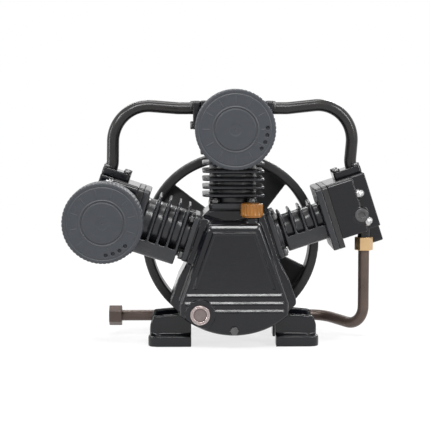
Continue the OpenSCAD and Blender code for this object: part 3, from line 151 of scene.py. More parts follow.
def rounded_profile(corners: Sequence[tuple[float, float, float]], steps: int = 4) -> np.ndarray:
    """Rounds the corners of an open profile.

    Each corner of radius q is replaced by a curve that leaves both of its sides at
    q tan(turn / 2) from the corner: (1 - t)^2 start + 2 t (1 - t) corner + t^2 end. A curve
    takes less than half of a side.

    Args:
        corners: Rows of radius, height and rounding.
        steps: Number of pieces in each curve.

    Returns:
        Rows of radius and height.
    """
    most = 0.49
    out = []
    pts = [np.array(c[:2], float) for c in corners]
    for k, (p, (_, _, q)) in enumerate(zip(pts, corners)):
        if q <= 0 or k in (0, len(corners) - 1):
            out.append(p)
            continue
        a, b = pts[k - 1] - p, pts[k + 1] - p
        la, lb = np.linalg.norm(a), np.linalg.norm(b)
        a, b = a / la, b / lb
        turn = math.pi - math.acos(float(np.clip(a @ b, -1, 1)))
        if turn < 1e-3:
            out.append(p)
            continue
        cut = min(q * math.tan(turn / 2), la * most, lb * most)
        start, end = p + a * cut, p + b * cut
        for t in np.linspace(0, 1, steps + 1):
            out.append((1 - t) ** 2 * start + 2 * t * (1 - t) * p + t**2 * end)
    return np.array(out)


def filleted_path(points: Sequence[Sequence[float]], radii: Sequence[float]) -> np.ndarray:
    """Follows straight runs joined by circular bends.

    Args:
        points: The corners of the route.
        radii: The bend radius at each corner; the two ends take none.

    Returns:
        Points along the route, of shape (n, 3).
    """
    bend_step, run_step = 0.004, 0.012
    p = [np.array(q, float) for q in points]
    out = [p[0]]
    for k in range(1, len(p) - 1):
        a = (p[k] - p[k - 1]) / np.linalg.norm(p[k] - p[k - 1])
        b = (p[k + 1] - p[k]) / np.linalg.norm(p[k + 1] - p[k])
        turn = math.acos(float(np.clip(a @ b, -1, 1)))
        inward = (b - a) / np.linalg.norm(b - a)
        centre = p[k] + inward * radii[k] / math.cos(turn / 2)
        start = p[k] - a * radii[k] * math.tan(turn / 2) - centre
        n = max(3, int(math.ceil(turn * radii[k] / bend_step)))
        t = np.linspace(0, turn, n + 1)[:, None]
        out.extend(centre + start * np.cos(t) + a * radii[k] * np.sin(t))
    out.append(p[-1])
    path = [out[0]]
    for q, r in zip(out[:-1], out[1:]):
        n = max(1, int(np.linalg.norm(r - q) / run_step))
        path.extend(q + (r - q) * (k + 1) / n for k in range(n))
    return np.array(path)


def tube(path: np.ndarray, radius: float, bore: float, steps: int = 40) -> np.ndarray:
    """Carries a ring along a path in frames that don't twist.

    The section's points are path + r (cos a n + sin a m), where n is moved along the path by
    taking away its part along each new direction. The rows run along the outside, over the
    end face, back along the bore and over the first face. Both ends have chamfered lips.

    Args:
        path: Points of shape (n, 3).
        radius: The outer radius.
        bore: The bore's radius.
        steps: Number of columns round the tube.

    Returns:
        Points of shape (2 n + 4, steps, 3), closed along both parameters.
    """
    t = np.gradient(path, axis=0)
    t /= np.linalg.norm(t, axis=1)[:, None]
    n = np.zeros_like(t)
    seed = np.cross(t[0], [0.3, 0.5, 0.8])
    for k in range(len(t)):
        seed = seed - t[k] * (seed @ t[k])
        seed /= np.linalg.norm(seed)
        n[k] = seed
    m = np.cross(t, n)
    lip = (radius - bore) / 4
    count = len(path)
    along = np.arange(count)
    ends = np.zeros(count)
    ends[0], ends[-1] = 1, -1
    rows = np.concatenate([[0], along, [count - 1, count - 1], along[::-1], [0]])
    outside, inside = np.full(count, radius), np.full(count, bore)
    edge, mouth = radius - lip, bore + lip / 2
    radii = np.concatenate([[edge], outside, [edge, mouth], inside, [mouth]])
    shifts = np.concatenate([[0], lip * ends, [0, 0], lip / 2 * ends[::-1], [0]])
    a = np.linspace(0, 2 * math.pi, steps, endpoint=False)[None, :, None]
    ring = np.cos(a) * n[rows][:, None] + np.sin(a) * m[rows][:, None]
    centre = path[rows] + t[rows] * shifts[:, None]
    return centre[:, None] + radii[:, None, None] * ring


def joined(name: str, parts: Sequence[Piece]) -> Piece:
    """Makes one object from several and removes them.

    Args:
        name: The new object's name.
        parts: Objects at the origin.

    Returns:
        The joined object.
    """
    whole = bpy.data.meshes.new(name)
    with edited(whole) as bm:
        for part in parts:
            mesh = part.data
            bm.from_mesh(mesh)
            bpy.data.objects.remove(part)
            bpy.data.meshes.remove(mesh)
    return linked(name, whole)


def eased(t: np.ndarray) -> np.ndarray:
    """Rises from 0 to 1 as 3 t^2 - 2 t^3, and stays level beyond."""
    t = np.clip(t, 0, 1)
    return t * t * (3 - 2 * t)


def band(r: np.ndarray, inner: float, outer: float, blend: float) -> np.ndarray:
    """1 between two radii and 0 outside them, eased over a blend at both."""
    return eased((r - inner) / blend) * eased((outer - r) / blend)


def hexagonal(flats: float, height: float, dome: float = 0.0, columns: int = 72) -> np.ndarray:
    """A chamfered hexagon nut that stands on z = 0.

    The radius is half the width over cos(angle to the middle of the flat). The chamfer is a
    cone of 30 degrees that starts at a circle a little inside the flats.

    Args:
        flats: Width across the flats.
        height: Height of the hexagon.
        dome: Radius of a ball on the top, or 0 for a flat top.
        columns: Number of columns round the axis.

    Returns:
        Points of shape (rows, columns, 3).
    """
    foot, step = 0.0003, 0.00005
    half, chamfer_r, collar_r, worn_corner_r = flats / 2 * np.array([1, 0.97, 0.93, 1.135])
    angle = np.linspace(0, 2 * math.pi, columns, endpoint=False)
    flat = np.mod(angle, math.pi / 3) - math.pi / 6
    ring = np.minimum(half / np.cos(flat), worn_corner_r)
    none = np.zeros_like(ring)
    top = height + step
    rows = [(none, none), (ring - foot, none), (ring, none + foot)]
    rows += [(ring, height - (ring - chamfer_r) * math.tan(math.pi / 6)), (none + chamfer_r, none + height)]
    rows.append((none + collar_r, none + top))
    if dome > 0:
        turn = np.linspace(0, math.pi / 2, 9)
        rows += [(none + dome * math.cos(t), none + height + dome * math.sin(t)) for t in turn]
    else:
        rows += [(none + flats * 0.3, none + top), (none, none + top)]
    r, z = (np.array(column) for column in zip(*rows))
    return np.stack([r * np.cos(angle), r * np.sin(angle), z], -1)


# Finishes


@dataclass(frozen=True)
class Wiring:
    """Adds nodes to one tree and links them."""

    tree: bpy.types.NodeTree

    def node(self, kind: str, **settings: object) -> bpy.types.Node:
        """Adds a node and sets its properties."""
        made = self.tree.nodes.new(kind)
        for key, value in settings.items():
            setattr(made, key, value)
        return made

    def link(self, start: Socket, end: Socket) -> None:
        """Links an output to an input."""
        self.tree.links.new(start, end)

    def maths(self, operation: str, first: Socket, second: Socket) -> Socket:
        """Computes one number from two."""
        made = self.node("ShaderNodeMath", operation=operation)
        self.link(first, made.inputs[0])
        self.link(second, made.inputs[1])
        return made.outputs[0]

    def ranged(
        self, value: Socket, limits: Span = (0.0, 1.0), results: Span = (0.0, 1.0), kind: str = "LINEAR"
    ) -> Socket:
        """Carries a number from one range to another and holds it at the ends."""
        made = self.node("ShaderNodeMapRange", interpolation_type=kind)
        for key, number in zip(("From Min", "From Max", "To Min", "To Max"), (*limits, *results)):
            made.inputs[key].default_value = number
        self.link(value, made.inputs["Value"])
        return made.outputs[0]

    def noise(self, vector: Socket, scale: float, detail: float) -> Socket:
        """Noise at a place."""
        made = self.node("ShaderNodeTexNoise")
        made.inputs["Scale"].default_value = scale
        made.inputs["Detail"].default_value = detail
        self.link(vector, made.inputs["Vector"])
        return made.outputs["Fac"]

    def effect(self, shared: "Effect", **values: float) -> bpy.types.Node:
        """Adds a shared effect and sets its numbers."""
        made = self.node("ShaderNodeGroup", node_tree=shared.tree())
        for key, number in values.items():
            made.inputs[key].default_value = number
        return made

    def mixed(self, under: Colour | Socket, over: Colour, by: Socket) -> Socket:
        """Lays a fixed colour over another by a mask."""
        made = self.node("ShaderNodeMix", data_type="RGBA")
        if isinstance(under, tuple):
            made.inputs["A"].default_value = (*under, 1)
        else:
            self.link(under, made.inputs["A"])
        made.inputs["B"].default_value = (*over, 1)
        self.link(by, made.inputs["Factor"])
        return made.outputs["Result"]

    def background_rays(self) -> Socket:
        """1 for a ray that shows the background: from the camera, off gloss or through glass."""
        path = self.node("ShaderNodeLightPath")
        clear = self.maths("MAXIMUM", path.outputs["Is Glossy Ray"], path.outputs["Is Transmission Ray"])
        return self.maths("MAXIMUM", path.outputs["Is Camera Ray"], clear)


@dataclass(frozen=True)
class Effect:
    """A shader node group that several finishes share.

    It has number sockets. The fill adds its nodes, from the wiring, the group's given values and
    its results.
    """

    name: str
    inputs: dict[str, float]
    outputs: Sequence[str]
    fill: Callable[[Wiring, bpy.types.NodeOutputs, bpy.types.NodeInputs], None]

    def tree(self) -> bpy.types.NodeTree:
        """Finds the group or makes it."""
        if self.name in bpy.data.node_groups:
            return bpy.data.node_groups[self.name]
        tree = bpy.data.node_groups.new(self.name, "ShaderNodeTree")
        for key, value in self.inputs.items():
            socket = tree.interface.new_socket(key, in_out="INPUT", socket_type="NodeSocketFloat")
            socket.default_value = value
        for key in self.outputs:
            tree.interface.new_socket(key, in_out="OUTPUT", socket_type="NodeSocketFloat")
        w = Wiring(tree)
        self.fill(w, w.node("NodeGroupInput").outputs, w.node("NodeGroupOutput").inputs)
        return tree


def _cast_skin(w: Wiring, given: bpy.types.NodeOutputs, out: bpy.types.NodeInputs) -> None:
    """Height of a painted sand casting: fine grain on slow waves, from object coordinates."""
    scaled = w.node("ShaderNodeVectorMath", operation="SCALE")
    w.link(w.node("ShaderNodeTexCoord").outputs["Object"], scaled.inputs[0])
    w.link(given["Scale"], scaled.inputs["Scale"])
    slow = w.noise(scaled.outputs[0], 70, 2)
    grain = w.maths("MULTIPLY", w.noise(scaled.outputs[0], 900, 3), given["Grain"])
    w.link(w.maths("ADD", grain, w.maths("MULTIPLY", slow, given["Waves"])), out["Height"])
    w.link(slow, out["Tone"])


def _dust(w: Wiring, given: bpy.types.NodeOutputs, out: bpy.types.NodeInputs) -> None:
    """Mask of dust that lies on upward faces, broken up by noise."""
    coord, split = w.node("ShaderNodeTexCoord"), w.node("ShaderNodeSeparateXYZ")
    w.link(coord.outputs["Normal"], split.inputs[0])
    up = w.ranged(split.outputs["Z"], (0.2, 1.0))
    lying = w.maths("MULTIPLY", up, w.noise(coord.outputs["Object"], 45, 6))
    w.link(w.maths("MULTIPLY", lying, given["Amount"]), out["Mask"])


def _edge_wear_and_highlight(w: Wiring, given: bpy.types.NodeOutputs, out: bpy.types.NodeInputs) -> None:
    """Mask of outer edges, where a rounded normal leaves the face's normal, broken by noise: worn paint, and
    on the head plug a painted highlight.
    """
    rounded = w.node("ShaderNodeBevel", samples=4)
    dot = w.node("ShaderNodeVectorMath", operation="DOT_PRODUCT")
    w.link(given["Width"], rounded.inputs["Radius"])
    w.link(rounded.outputs[0], dot.inputs[0])
    w.link(w.node("ShaderNodeNewGeometry").outputs["Normal"], dot.inputs[1])
    turn = w.ranged(dot.outputs["Value"], (0.99, 0.85))
    patches = w.noise(w.node("ShaderNodeTexCoord").outputs["Object"], 160, 5)
    worn = w.maths("MULTIPLY", turn, w.ranged(patches, (0.45, 0.62)))
    w.link(w.maths("MULTIPLY", worn, given["Amount"]), out["Mask"])


CAST_SKIN = Effect("cast skin", {"Scale": 1.0, "Grain": 1.0, "Waves": 1.0}, ("Height", "Tone"), _cast_skin)
DUST = Effect("dust", {"Amount": 0.3}, ("Mask",), _dust)
EDGE_WEAR_AND_HIGHLIGHT = Effect("edge wear and highlight", {"Width": 0.0008, "Amount": 0.5}, ("Mask",), _edge_wear_and_highlight)


@dataclass(frozen=True)
class Finish:
    """A finish with grain, colour variation, dust and lighter outer edges of its own: worn paint on most
    finishes, a painted highlight on the head plug's rim.

    The colour is written in linear light. Relief is the bump's height in metres.
    """

    name: str
    slot: str
    colour: Colour
    second: Colour
    roughness: float = 0.4
    rough_spread: float = 0.12
    metallic: float = 0.0
    relief: float = 0.0002
    scale: float = 1.0
    grain: float = 0.3
    waves: float = 1.0
    dust: float = 0.0
    dust_colour: Colour = (0.32, 0.3, 0.27)
    gloss: float = 0.5
    wear_and_highlight: float = 0.0
    wear_and_highlight_colour: Colour = (0.35, 0.35, 0.36)

    def material(self) -> bpy.types.Material:
        """Finds or builds the finish's material."""
        known = bpy.data.materials.get(self.name)
        if known is not None:
            return known
        mat = bpy.data.materials.new(self.name)
        mat.use_nodes = True
        w = Wiring(mat.node_tree)
        bsdf = mat.node_tree.nodes["Principled BSDF"]
        bsdf.inputs["Metallic"].default_value = self.metallic
        bsdf.inputs["Specular IOR Level"].default_value = self.gloss
        skin = w.effect(CAST_SKIN, Scale=self.scale, Grain=self.grain, Waves=self.waves)
        tone = skin.outputs["Tone"]
        bump = w.node("ShaderNodeBump")
        bump.inputs["Distance"].default_value = self.relief
        w.link(skin.outputs["Height"], bump.inputs["Height"])
        w.link(bump.outputs[0], bsdf.inputs["Normal"])
        colour = w.mixed(self.colour, self.second, tone)
        # Lighter outer edges: worn paint on most finishes, a painted highlight on the head plug's rim.
        if self.wear_and_highlight > 0:
            wear_and_highlight = w.effect(EDGE_WEAR_AND_HIGHLIGHT, Amount=self.wear_and_highlight)
            colour = w.mixed(colour, self.wear_and_highlight_colour, wear_and_highlight.outputs["Mask"])
        if self.dust > 0:
            dust = w.effect(DUST, Amount=self.dust)
            colour = w.mixed(colour, self.dust_colour, dust.outputs["Mask"])
        w.link(colour, bsdf.inputs["Base Color"])
        spread = (max(0.02, self.roughness - self.rough_spread), self.roughness + self.rough_spread)
        w.link(w.ranged(tone, results=spread), bsdf.inputs["Roughness"])
        self.tune(bsdf)
        return mat

    def tune(self, bsdf: bpy.types.Node) -> None:
        """Sets what only this finish has on the shader; a plain finish sets nothing."""


@dataclass(frozen=True)
class ClearFinish(Finish):
    """Glass or clear plastic."""

    transmission: float = 1.0
    ior: float = 1.49

    def tune(self, bsdf: bpy.types.Node) -> None:
        """Sets the transmission."""
        bsdf.inputs["Transmission Weight"].default_value = self.transmission
        bsdf.inputs["IOR"].default_value = self.ior


BLACK_CASTING = Finish(
    "gloss black casting", "black_casting", (0.0025, 0.0028, 0.0045), (0.0055, 0.0058, 0.0085), 0.14, 0.03,
    relief=0.0003, grain=0.12, waves=0.8, gloss=0.4, dust=0.03, wear_and_highlight=0.05, wear_and_highlight_colour=(0.1, 0.1, 0.105),
)
BLACK_FINS = Finish(
    "satin black fins", "black_fins", (0.017, 0.0178, 0.0212), (0.028, 0.0288, 0.033), 0.24, 0.07,
    relief=0.0004, grain=0.2, gloss=0.45, dust=0.06, wear_and_highlight=0.12, wear_and_highlight_colour=(0.14, 0.14, 0.145),
)
WHEEL_BLACK = Finish(
    "wheel black", "black_casting", (0.012, 0.012, 0.0135), (0.018, 0.018, 0.02), 0.42, 0.08,
    relief=0.0003, grain=0.35, waves=0.5, dust=0.06, wear_and_highlight=0.2, wear_and_highlight_colour=(0.16, 0.16, 0.165),
)
EDGE_PAINT = Finish(
    "painted plate edge", "bright_steel", (0.012, 0.012, 0.013), (0.02, 0.02, 0.021), 0.25, 0.06,
    dust=0.03,
)
# Lighter than the casting black, with a strong light edge mask: a painted highlight on the head plug's rim,
# which the lamps don't catch.
PLUG_BLACK = Finish(
    "plug black", "black_casting", (0.03, 0.03, 0.032), (0.045, 0.045, 0.048), 0.25, 0.06,
    relief=0.0001, gloss=0.8, wear_and_highlight=0.4,
)
PAINTED_SHEET = Finish(
    "painted joint edge", "gasket_sheet", (0.012, 0.012, 0.012), (0.02, 0.019, 0.018), 0.6, 0.1,
    grain=0.8,
)
FILTER_PLASTIC = Finish(
    "filter plastic", "filter_plastic", (0.023, 0.0265, 0.0325), (0.031, 0.0345, 0.0415), 0.45, 0.06,
    relief=0.00012, scale=1.6, grain=0.5, waves=0.3, dust=0.05,
)
AMBER_PLASTIC = ClearFinish(
    "amber plastic", "amber_plastic", (0.27, 0.1, 0.012), (0.36, 0.145, 0.02), 0.22, 0.05,
    relief=0.0001, grain=0.2, transmission=0.2,
)
BRIGHT_RING = Finish(
    "bright ring", "bright_ring", (0.36, 0.3, 0.29), (0.5, 0.43, 0.42), 0.2, 0.06, metallic=1.0,
    relief=0.00005, grain=0.4,
)
CLEAR_GLASS = ClearFinish(
    "clear glass", "clear_glass", (0.12, 0.09, 0.085), (0.2, 0.155, 0.15), 0.1, 0.04, relief=0.00002,
    transmission=0.15,
)
DARK_STEEL = Finish(
    "dark steel", "dark_steel", (0.09, 0.09, 0.093), (0.16, 0.16, 0.16), 0.36, 0.1, metallic=1.0,
    relief=0.0001, grain=0.5, wear_and_highlight=0.3,
)
BRIGHT_STEEL = Finish(
    "bright steel", "bright_steel", (0.42, 0.42, 0.43), (0.55, 0.54, 0.53), 0.28, 0.1, metallic=1.0,
    relief=0.00008, grain=0.5,
)
SEAL_RUBBER = Finish("seal rubber", "seal_rubber", (0.02, 0.02, 0.02), (0.03, 0.03, 0.03), 0.7, 0.1)
GASKET_SHEET = Finish(
    "gasket sheet", "gasket_sheet", (0.1, 0.085, 0.065), (0.14, 0.12, 0.09), 0.8, 0.1, grain=1.0,
)
FILTER_PAPER = Finish(
    "filter paper", "filter_paper", (0.62, 0.57, 0.42), (0.7, 0.66, 0.5), 0.85, 0.1, grain=1.0,
)
PIPE_BLACK = Finish(
    "black pipe", "pipe_paint", (0.008, 0.0075, 0.008), (0.015, 0.013, 0.012), 0.24, 0.06,
    relief=0.00012, scale=0.6, grain=0.15, waves=0.6, gloss=0.4, dust=0.04,
)
PIPE_BRONZE = Finish(
    "bronze black pipe", "pipe_paint", (0.07, 0.05, 0.043), (0.11, 0.078, 0.064), 0.32, 0.1,
    metallic=0.5, relief=0.00012, scale=0.6, grain=0.15, dust=0.04,
)
BRASS = Finish(
    "brass", "brass", (0.6, 0.43, 0.3), (0.74, 0.55, 0.4), 0.3, 0.1, metallic=1.0,
    relief=0.0001, grain=0.4,
)
CAST_IRON = Finish(
    "machined iron", "cast_crank", (0.3, 0.3, 0.31), (0.38, 0.38, 0.38), 0.38, 0.1, metallic=1.0,
    relief=0.0001, grain=0.5,
)
LIGHT_ALLOY = Finish(
    "light alloy", "light_alloy", (0.55, 0.56, 0.57), (0.66, 0.66, 0.67), 0.4, 0.1, metallic=1.0,
    grain=0.8,
)


# Placing and dressing


class Bank(Enum):
    """One of the three cylinders: its angle from the vertical in degrees and its station."""

    LEFT = (-72.0, -0.022)
    CENTRE = (0.0, 0.0)
    RIGHT = (72.0, 0.022)

    @property
    def matrix(self) -> Matrix:
        """From the cylinder's frame to the row frame."""
        angle, station = self.value
        return Matrix.Translation((0, station, CRANK_H)) @ Matrix.Rotation(math.radians(angle), 4, "Y")

    def point(self, across: float, along: float, out: float) -> np.ndarray:
        """A point of the cylinder's frame in the row frame."""
        return np.array(self.matrix @ Vector((across, along, out)))


@dataclass
class Assembly:
    """The way that the pieces of a sub-assembly join the frame."""

    def keep(self, piece: Piece, finish: Finish, *nodes: str, body: str = "root") -> None:
        """Gives a new piece its finish, its body and the nodes that it stands for.

        Args:
            piece: The new object.
            finish: Its finish.
            nodes: The CAD nodes that it replaces.
            body: The body that it rides on.
        """
        piece.data.materials.clear()
        piece.data.materials.append(finish.material())
        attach(piece, body)
        if nodes:
            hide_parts(*nodes)
        log.info("%s on %s: %d faces", piece.name, body, len(piece.data.polygons))

    def copied(self, node: str) -> Piece:
        """Copies and links a CAD node as a closed mesh, with its doubles merged."""
        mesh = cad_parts[node].data.copy()
        with edited(mesh) as bm:
            merge_doubles(bm, 2e-6)
        return linked(node + "_dressed", mesh)

    def cast(
        self,
        node: str,
        finish: Finish,
        cell: float,
        rounds: int,
        front: float | None = None,
        body: str = "root",
    ) -> None:
        """Stands a copy of a CAD node with the soft edges of a sand casting in its place.

        The copy is skinned again on an even lattice, and each round moves every point half way
        to the middle of its neighbours, so that edges and corners round off.

        Args:
            node: The CAD node.
            finish: Its finish.
            cell: The lattice's pitch.
            rounds: Number of smoothing rounds.
            front: Cuts away what lies before this y, for a piece with a front of its own.
            body: The body that the node belongs to.
        """
        piece = self.copied(node)
        if front is not None:
            with edited(piece.data) as bm:
                whole = bm.verts[:] + bm.edges[:] + bm.faces[:]
                cut = bmesh.ops.bisect_plane(
                    bm, geom=whole, plane_co=(0, front, 0), plane_no=(0, -1, 0), clear_outer=True
                )
                edges = [e for e in cut["geom_cut"] if isinstance(e, bmesh.types.BMEdge)]
                bmesh.ops.triangle_fill(bm, edges=edges, use_beauty=True)
        skin = piece.modifiers.new("even skin", "REMESH")
        skin.mode = "VOXEL"
        skin.voxel_size = cell
        skin.use_smooth_shade = True
        smooth = piece.modifiers.new("soft edges", "SMOOTH")
        smooth.factor = 0.5
        smooth.iterations = rounds
        self.keep(piece, finish, node, body=body)

    def soften(
        self,
        node: str,
        finish: Finish,
        width: float,
        segments: int = 2,
        clamp: bool = True,
        body: str = "root",
    ) -> None:
        """Stands a copy of a CAD node with rounded edges in its place.

        Args:
            node: The CAD node.
            finish: Its finish.
            width: The rounding of its edges.
            segments: Number of pieces in the rounding.
            clamp: Narrows the rounding where edges lie close together.
            body: The body that the node belongs to.
        """
        level, sharp = math.radians(0.4), math.radians(32)
        piece = self.copied(node)
        mesh = piece.data
        with edited(mesh) as bm:
            bmesh.ops.dissolve_limit(bm, angle_limit=level, verts=bm.verts, edges=bm.edges)
        mesh.set_sharp_from_angle(angle=sharp)
        if width > 0:
            bevel = piece.modifiers.new("rounded edges", "BEVEL")
            bevel.width = width
            bevel.segments = segments
            bevel.limit_method = "ANGLE"
            bevel.angle_limit = sharp
            bevel.harden_normals = False
            bevel.use_clamp_overlap = clamp
            weighted = piece.modifiers.new("flat faces", "WEIGHTED_NORMAL")
            weighted.keep_sharp = False
            weighted.weight = 80
        self.keep(piece, finish, node, body=body)


@dataclass(frozen=True)
class Lamp:
    """A rectangular lamp: its place, its width and height, and its power in watts."""

    name: str
    at: Point
    size: Span
    power: float


@dataclass
class Studio:
    """The camera of the photo, a pale floor and soft lights."""

    camera_at: Point = (-0.0862, -2.67, 0.497)
    aim: Point = (-0.0348, 0.0, 0.25)
    focal_px: float = 1359.0
    image_px: float = 430.0
    sensor_mm: float = 36.0
    far_end: float = 50.0
    lamps_aim: Point = (0.0, 0.0, 0.25)
    world_light: float = 0.42
    floor_colour: float = 0.9
    floor_r: float = 1.5
    floor_glow: float = 1.06
    floor_fade: Span = (0.45, 1.35)
    floor_share: Span = (0.7, 1.0)
    lamps: tuple[Lamp, ...] = (
        Lamp("key lamp", (-1.4, -1.5, 1.9), (0.35, 0.7), 19.0),
        Lamp("fill lamp", (1.7, -1.2, 1.1), (0.2, 1.2), 18.0),
        Lamp("side lamp", (-1.9, -0.5, 0.7), (0.14, 1.1), 10.0),
        Lamp("front strip", (0.05, -1.75, 2.1), (1.5, 0.34), 34.0),
        Lamp("top lamp", (0.0, 0.2, 2.3), (1.2, 0.5), 14.0),
        Lamp("rear lamp", (0.9, 2.2, 1.5), (0.6, 0.9), 20.0),
        Lamp("rear strip", (-0.7, 1.9, 2.0), (1.3, 0.3), 13.0),
    )

    @staticmethod
    def _stood(name: str, data: bpy.types.ID, at: Point, aim: Point) -> Piece:
        """Links a camera or lamp that looks from one point to another."""
        obj = bpy.data.objects.new(name, data)
        obj.location = at
        obj.rotation_euler = (Vector(aim) - Vector(at)).to_track_quat("-Z", "Y").to_euler()
        bpy.context.scene.collection.objects.link(obj)
        return obj

    def build(self) -> None:
        """Makes the camera, the world, the floor and the lamps."""
        scene = bpy.context.scene
        scene.view_settings.view_transform = "Standard"
        cam = bpy.data.cameras.new("camera")
        cam.sensor_width = self.sensor_mm
        cam.lens = self.focal_px * self.sensor_mm / self.image_px
        cam.clip_end = self.far_end
        scene.camera = self._stood("camera", cam, self.camera_at, self.aim)
        self._world()
        self._floor()
        for lamp in self.lamps:
            data = bpy.data.lights.new(lamp.name, "AREA")
            data.shape, data.energy = "RECTANGLE", lamp.power
            data.size, data.size_y = lamp.size
            self._stood(lamp.name, data, lamp.at, self.lamps_aim)

    def _world(self) -> None:
        """Lights softly from all round, and shows white to the camera, to gloss and to glass."""
        world = bpy.data.worlds.new("studio")
        world.use_nodes = True
        bpy.context.scene.world = world
        w = Wiring(world.node_tree)
        back = world.node_tree.nodes["Background"]
        back.inputs["Color"].default_value = (1, 1, 1, 1)
        strength = w.ranged(w.background_rays(), results=(self.world_light, 1.0))
        w.link(strength, back.inputs["Strength"])

    def _floor(self) -> None:
        """A round level floor that pales towards its rim, where it meets the white world."""
        turn = np.linspace(0, 2 * math.pi, 96, endpoint=False)
        a, r = np.meshgrid(turn, np.linspace(0.001, self.floor_r, 12))
        grid = np.stack([r * np.cos(a), r * np.sin(a), np.zeros_like(a)], -1)
        floor = grid_object("floor", grid)
        if floor.data.polygons[0].normal.z < 0:
            floor.data.flip_normals()
        mat = bpy.data.materials.new("pale floor")
        mat.use_nodes = True
        nodes, w = mat.node_tree.nodes, Wiring(mat.node_tree)
        bsdf = nodes["Principled BSDF"]
        bsdf.inputs["Base Color"].default_value = (*(self.floor_colour,) * 3, 1)
        bsdf.inputs["Roughness"].default_value = 0.8
        bsdf.inputs["Specular IOR Level"].default_value = 0.1
        glow, mix = w.node("ShaderNodeEmission"), w.node("ShaderNodeMixShader")
        glow.inputs["Strength"].default_value = self.floor_glow
        far = w.node("ShaderNodeVectorMath", operation="LENGTH")
        w.link(w.node("ShaderNodeTexCoord").outputs["Object"], far.inputs[0])
        fade = w.ranged(far.outputs["Value"], self.floor_fade, self.floor_share, "SMOOTHSTEP")
        w.link(w.maths("MULTIPLY", w.background_rays(), fade), mix.inputs[0])
        w.link(bsdf.outputs[0], mix.inputs[1])
        w.link(glow.outputs[0], mix.inputs[2])
        w.link(mix.outputs[0], nodes["Material Output"].inputs["Surface"])
        floor.data.materials.append(mat)


@dataclass(frozen=True)
class Rib:
    """A raised line on the nose: its crest's height above the crank, and the x of its two ends."""

    crest: float
    left: float
    right: float


@dataclass(frozen=True)
class Panel:
    """The nose's raised trapezoid, with a sunk field inside a frame. Heights are above the crank."""

    top: float = 0.042
    low: float = -0.068
    top_w: float = 0.041
    low_w: float = 0.08
    rise: float = 0.003
    sink: float = 0.0016
    frame_w: float = 0.0046
    spread: float = 0.0004
    blend: float = 0.0024


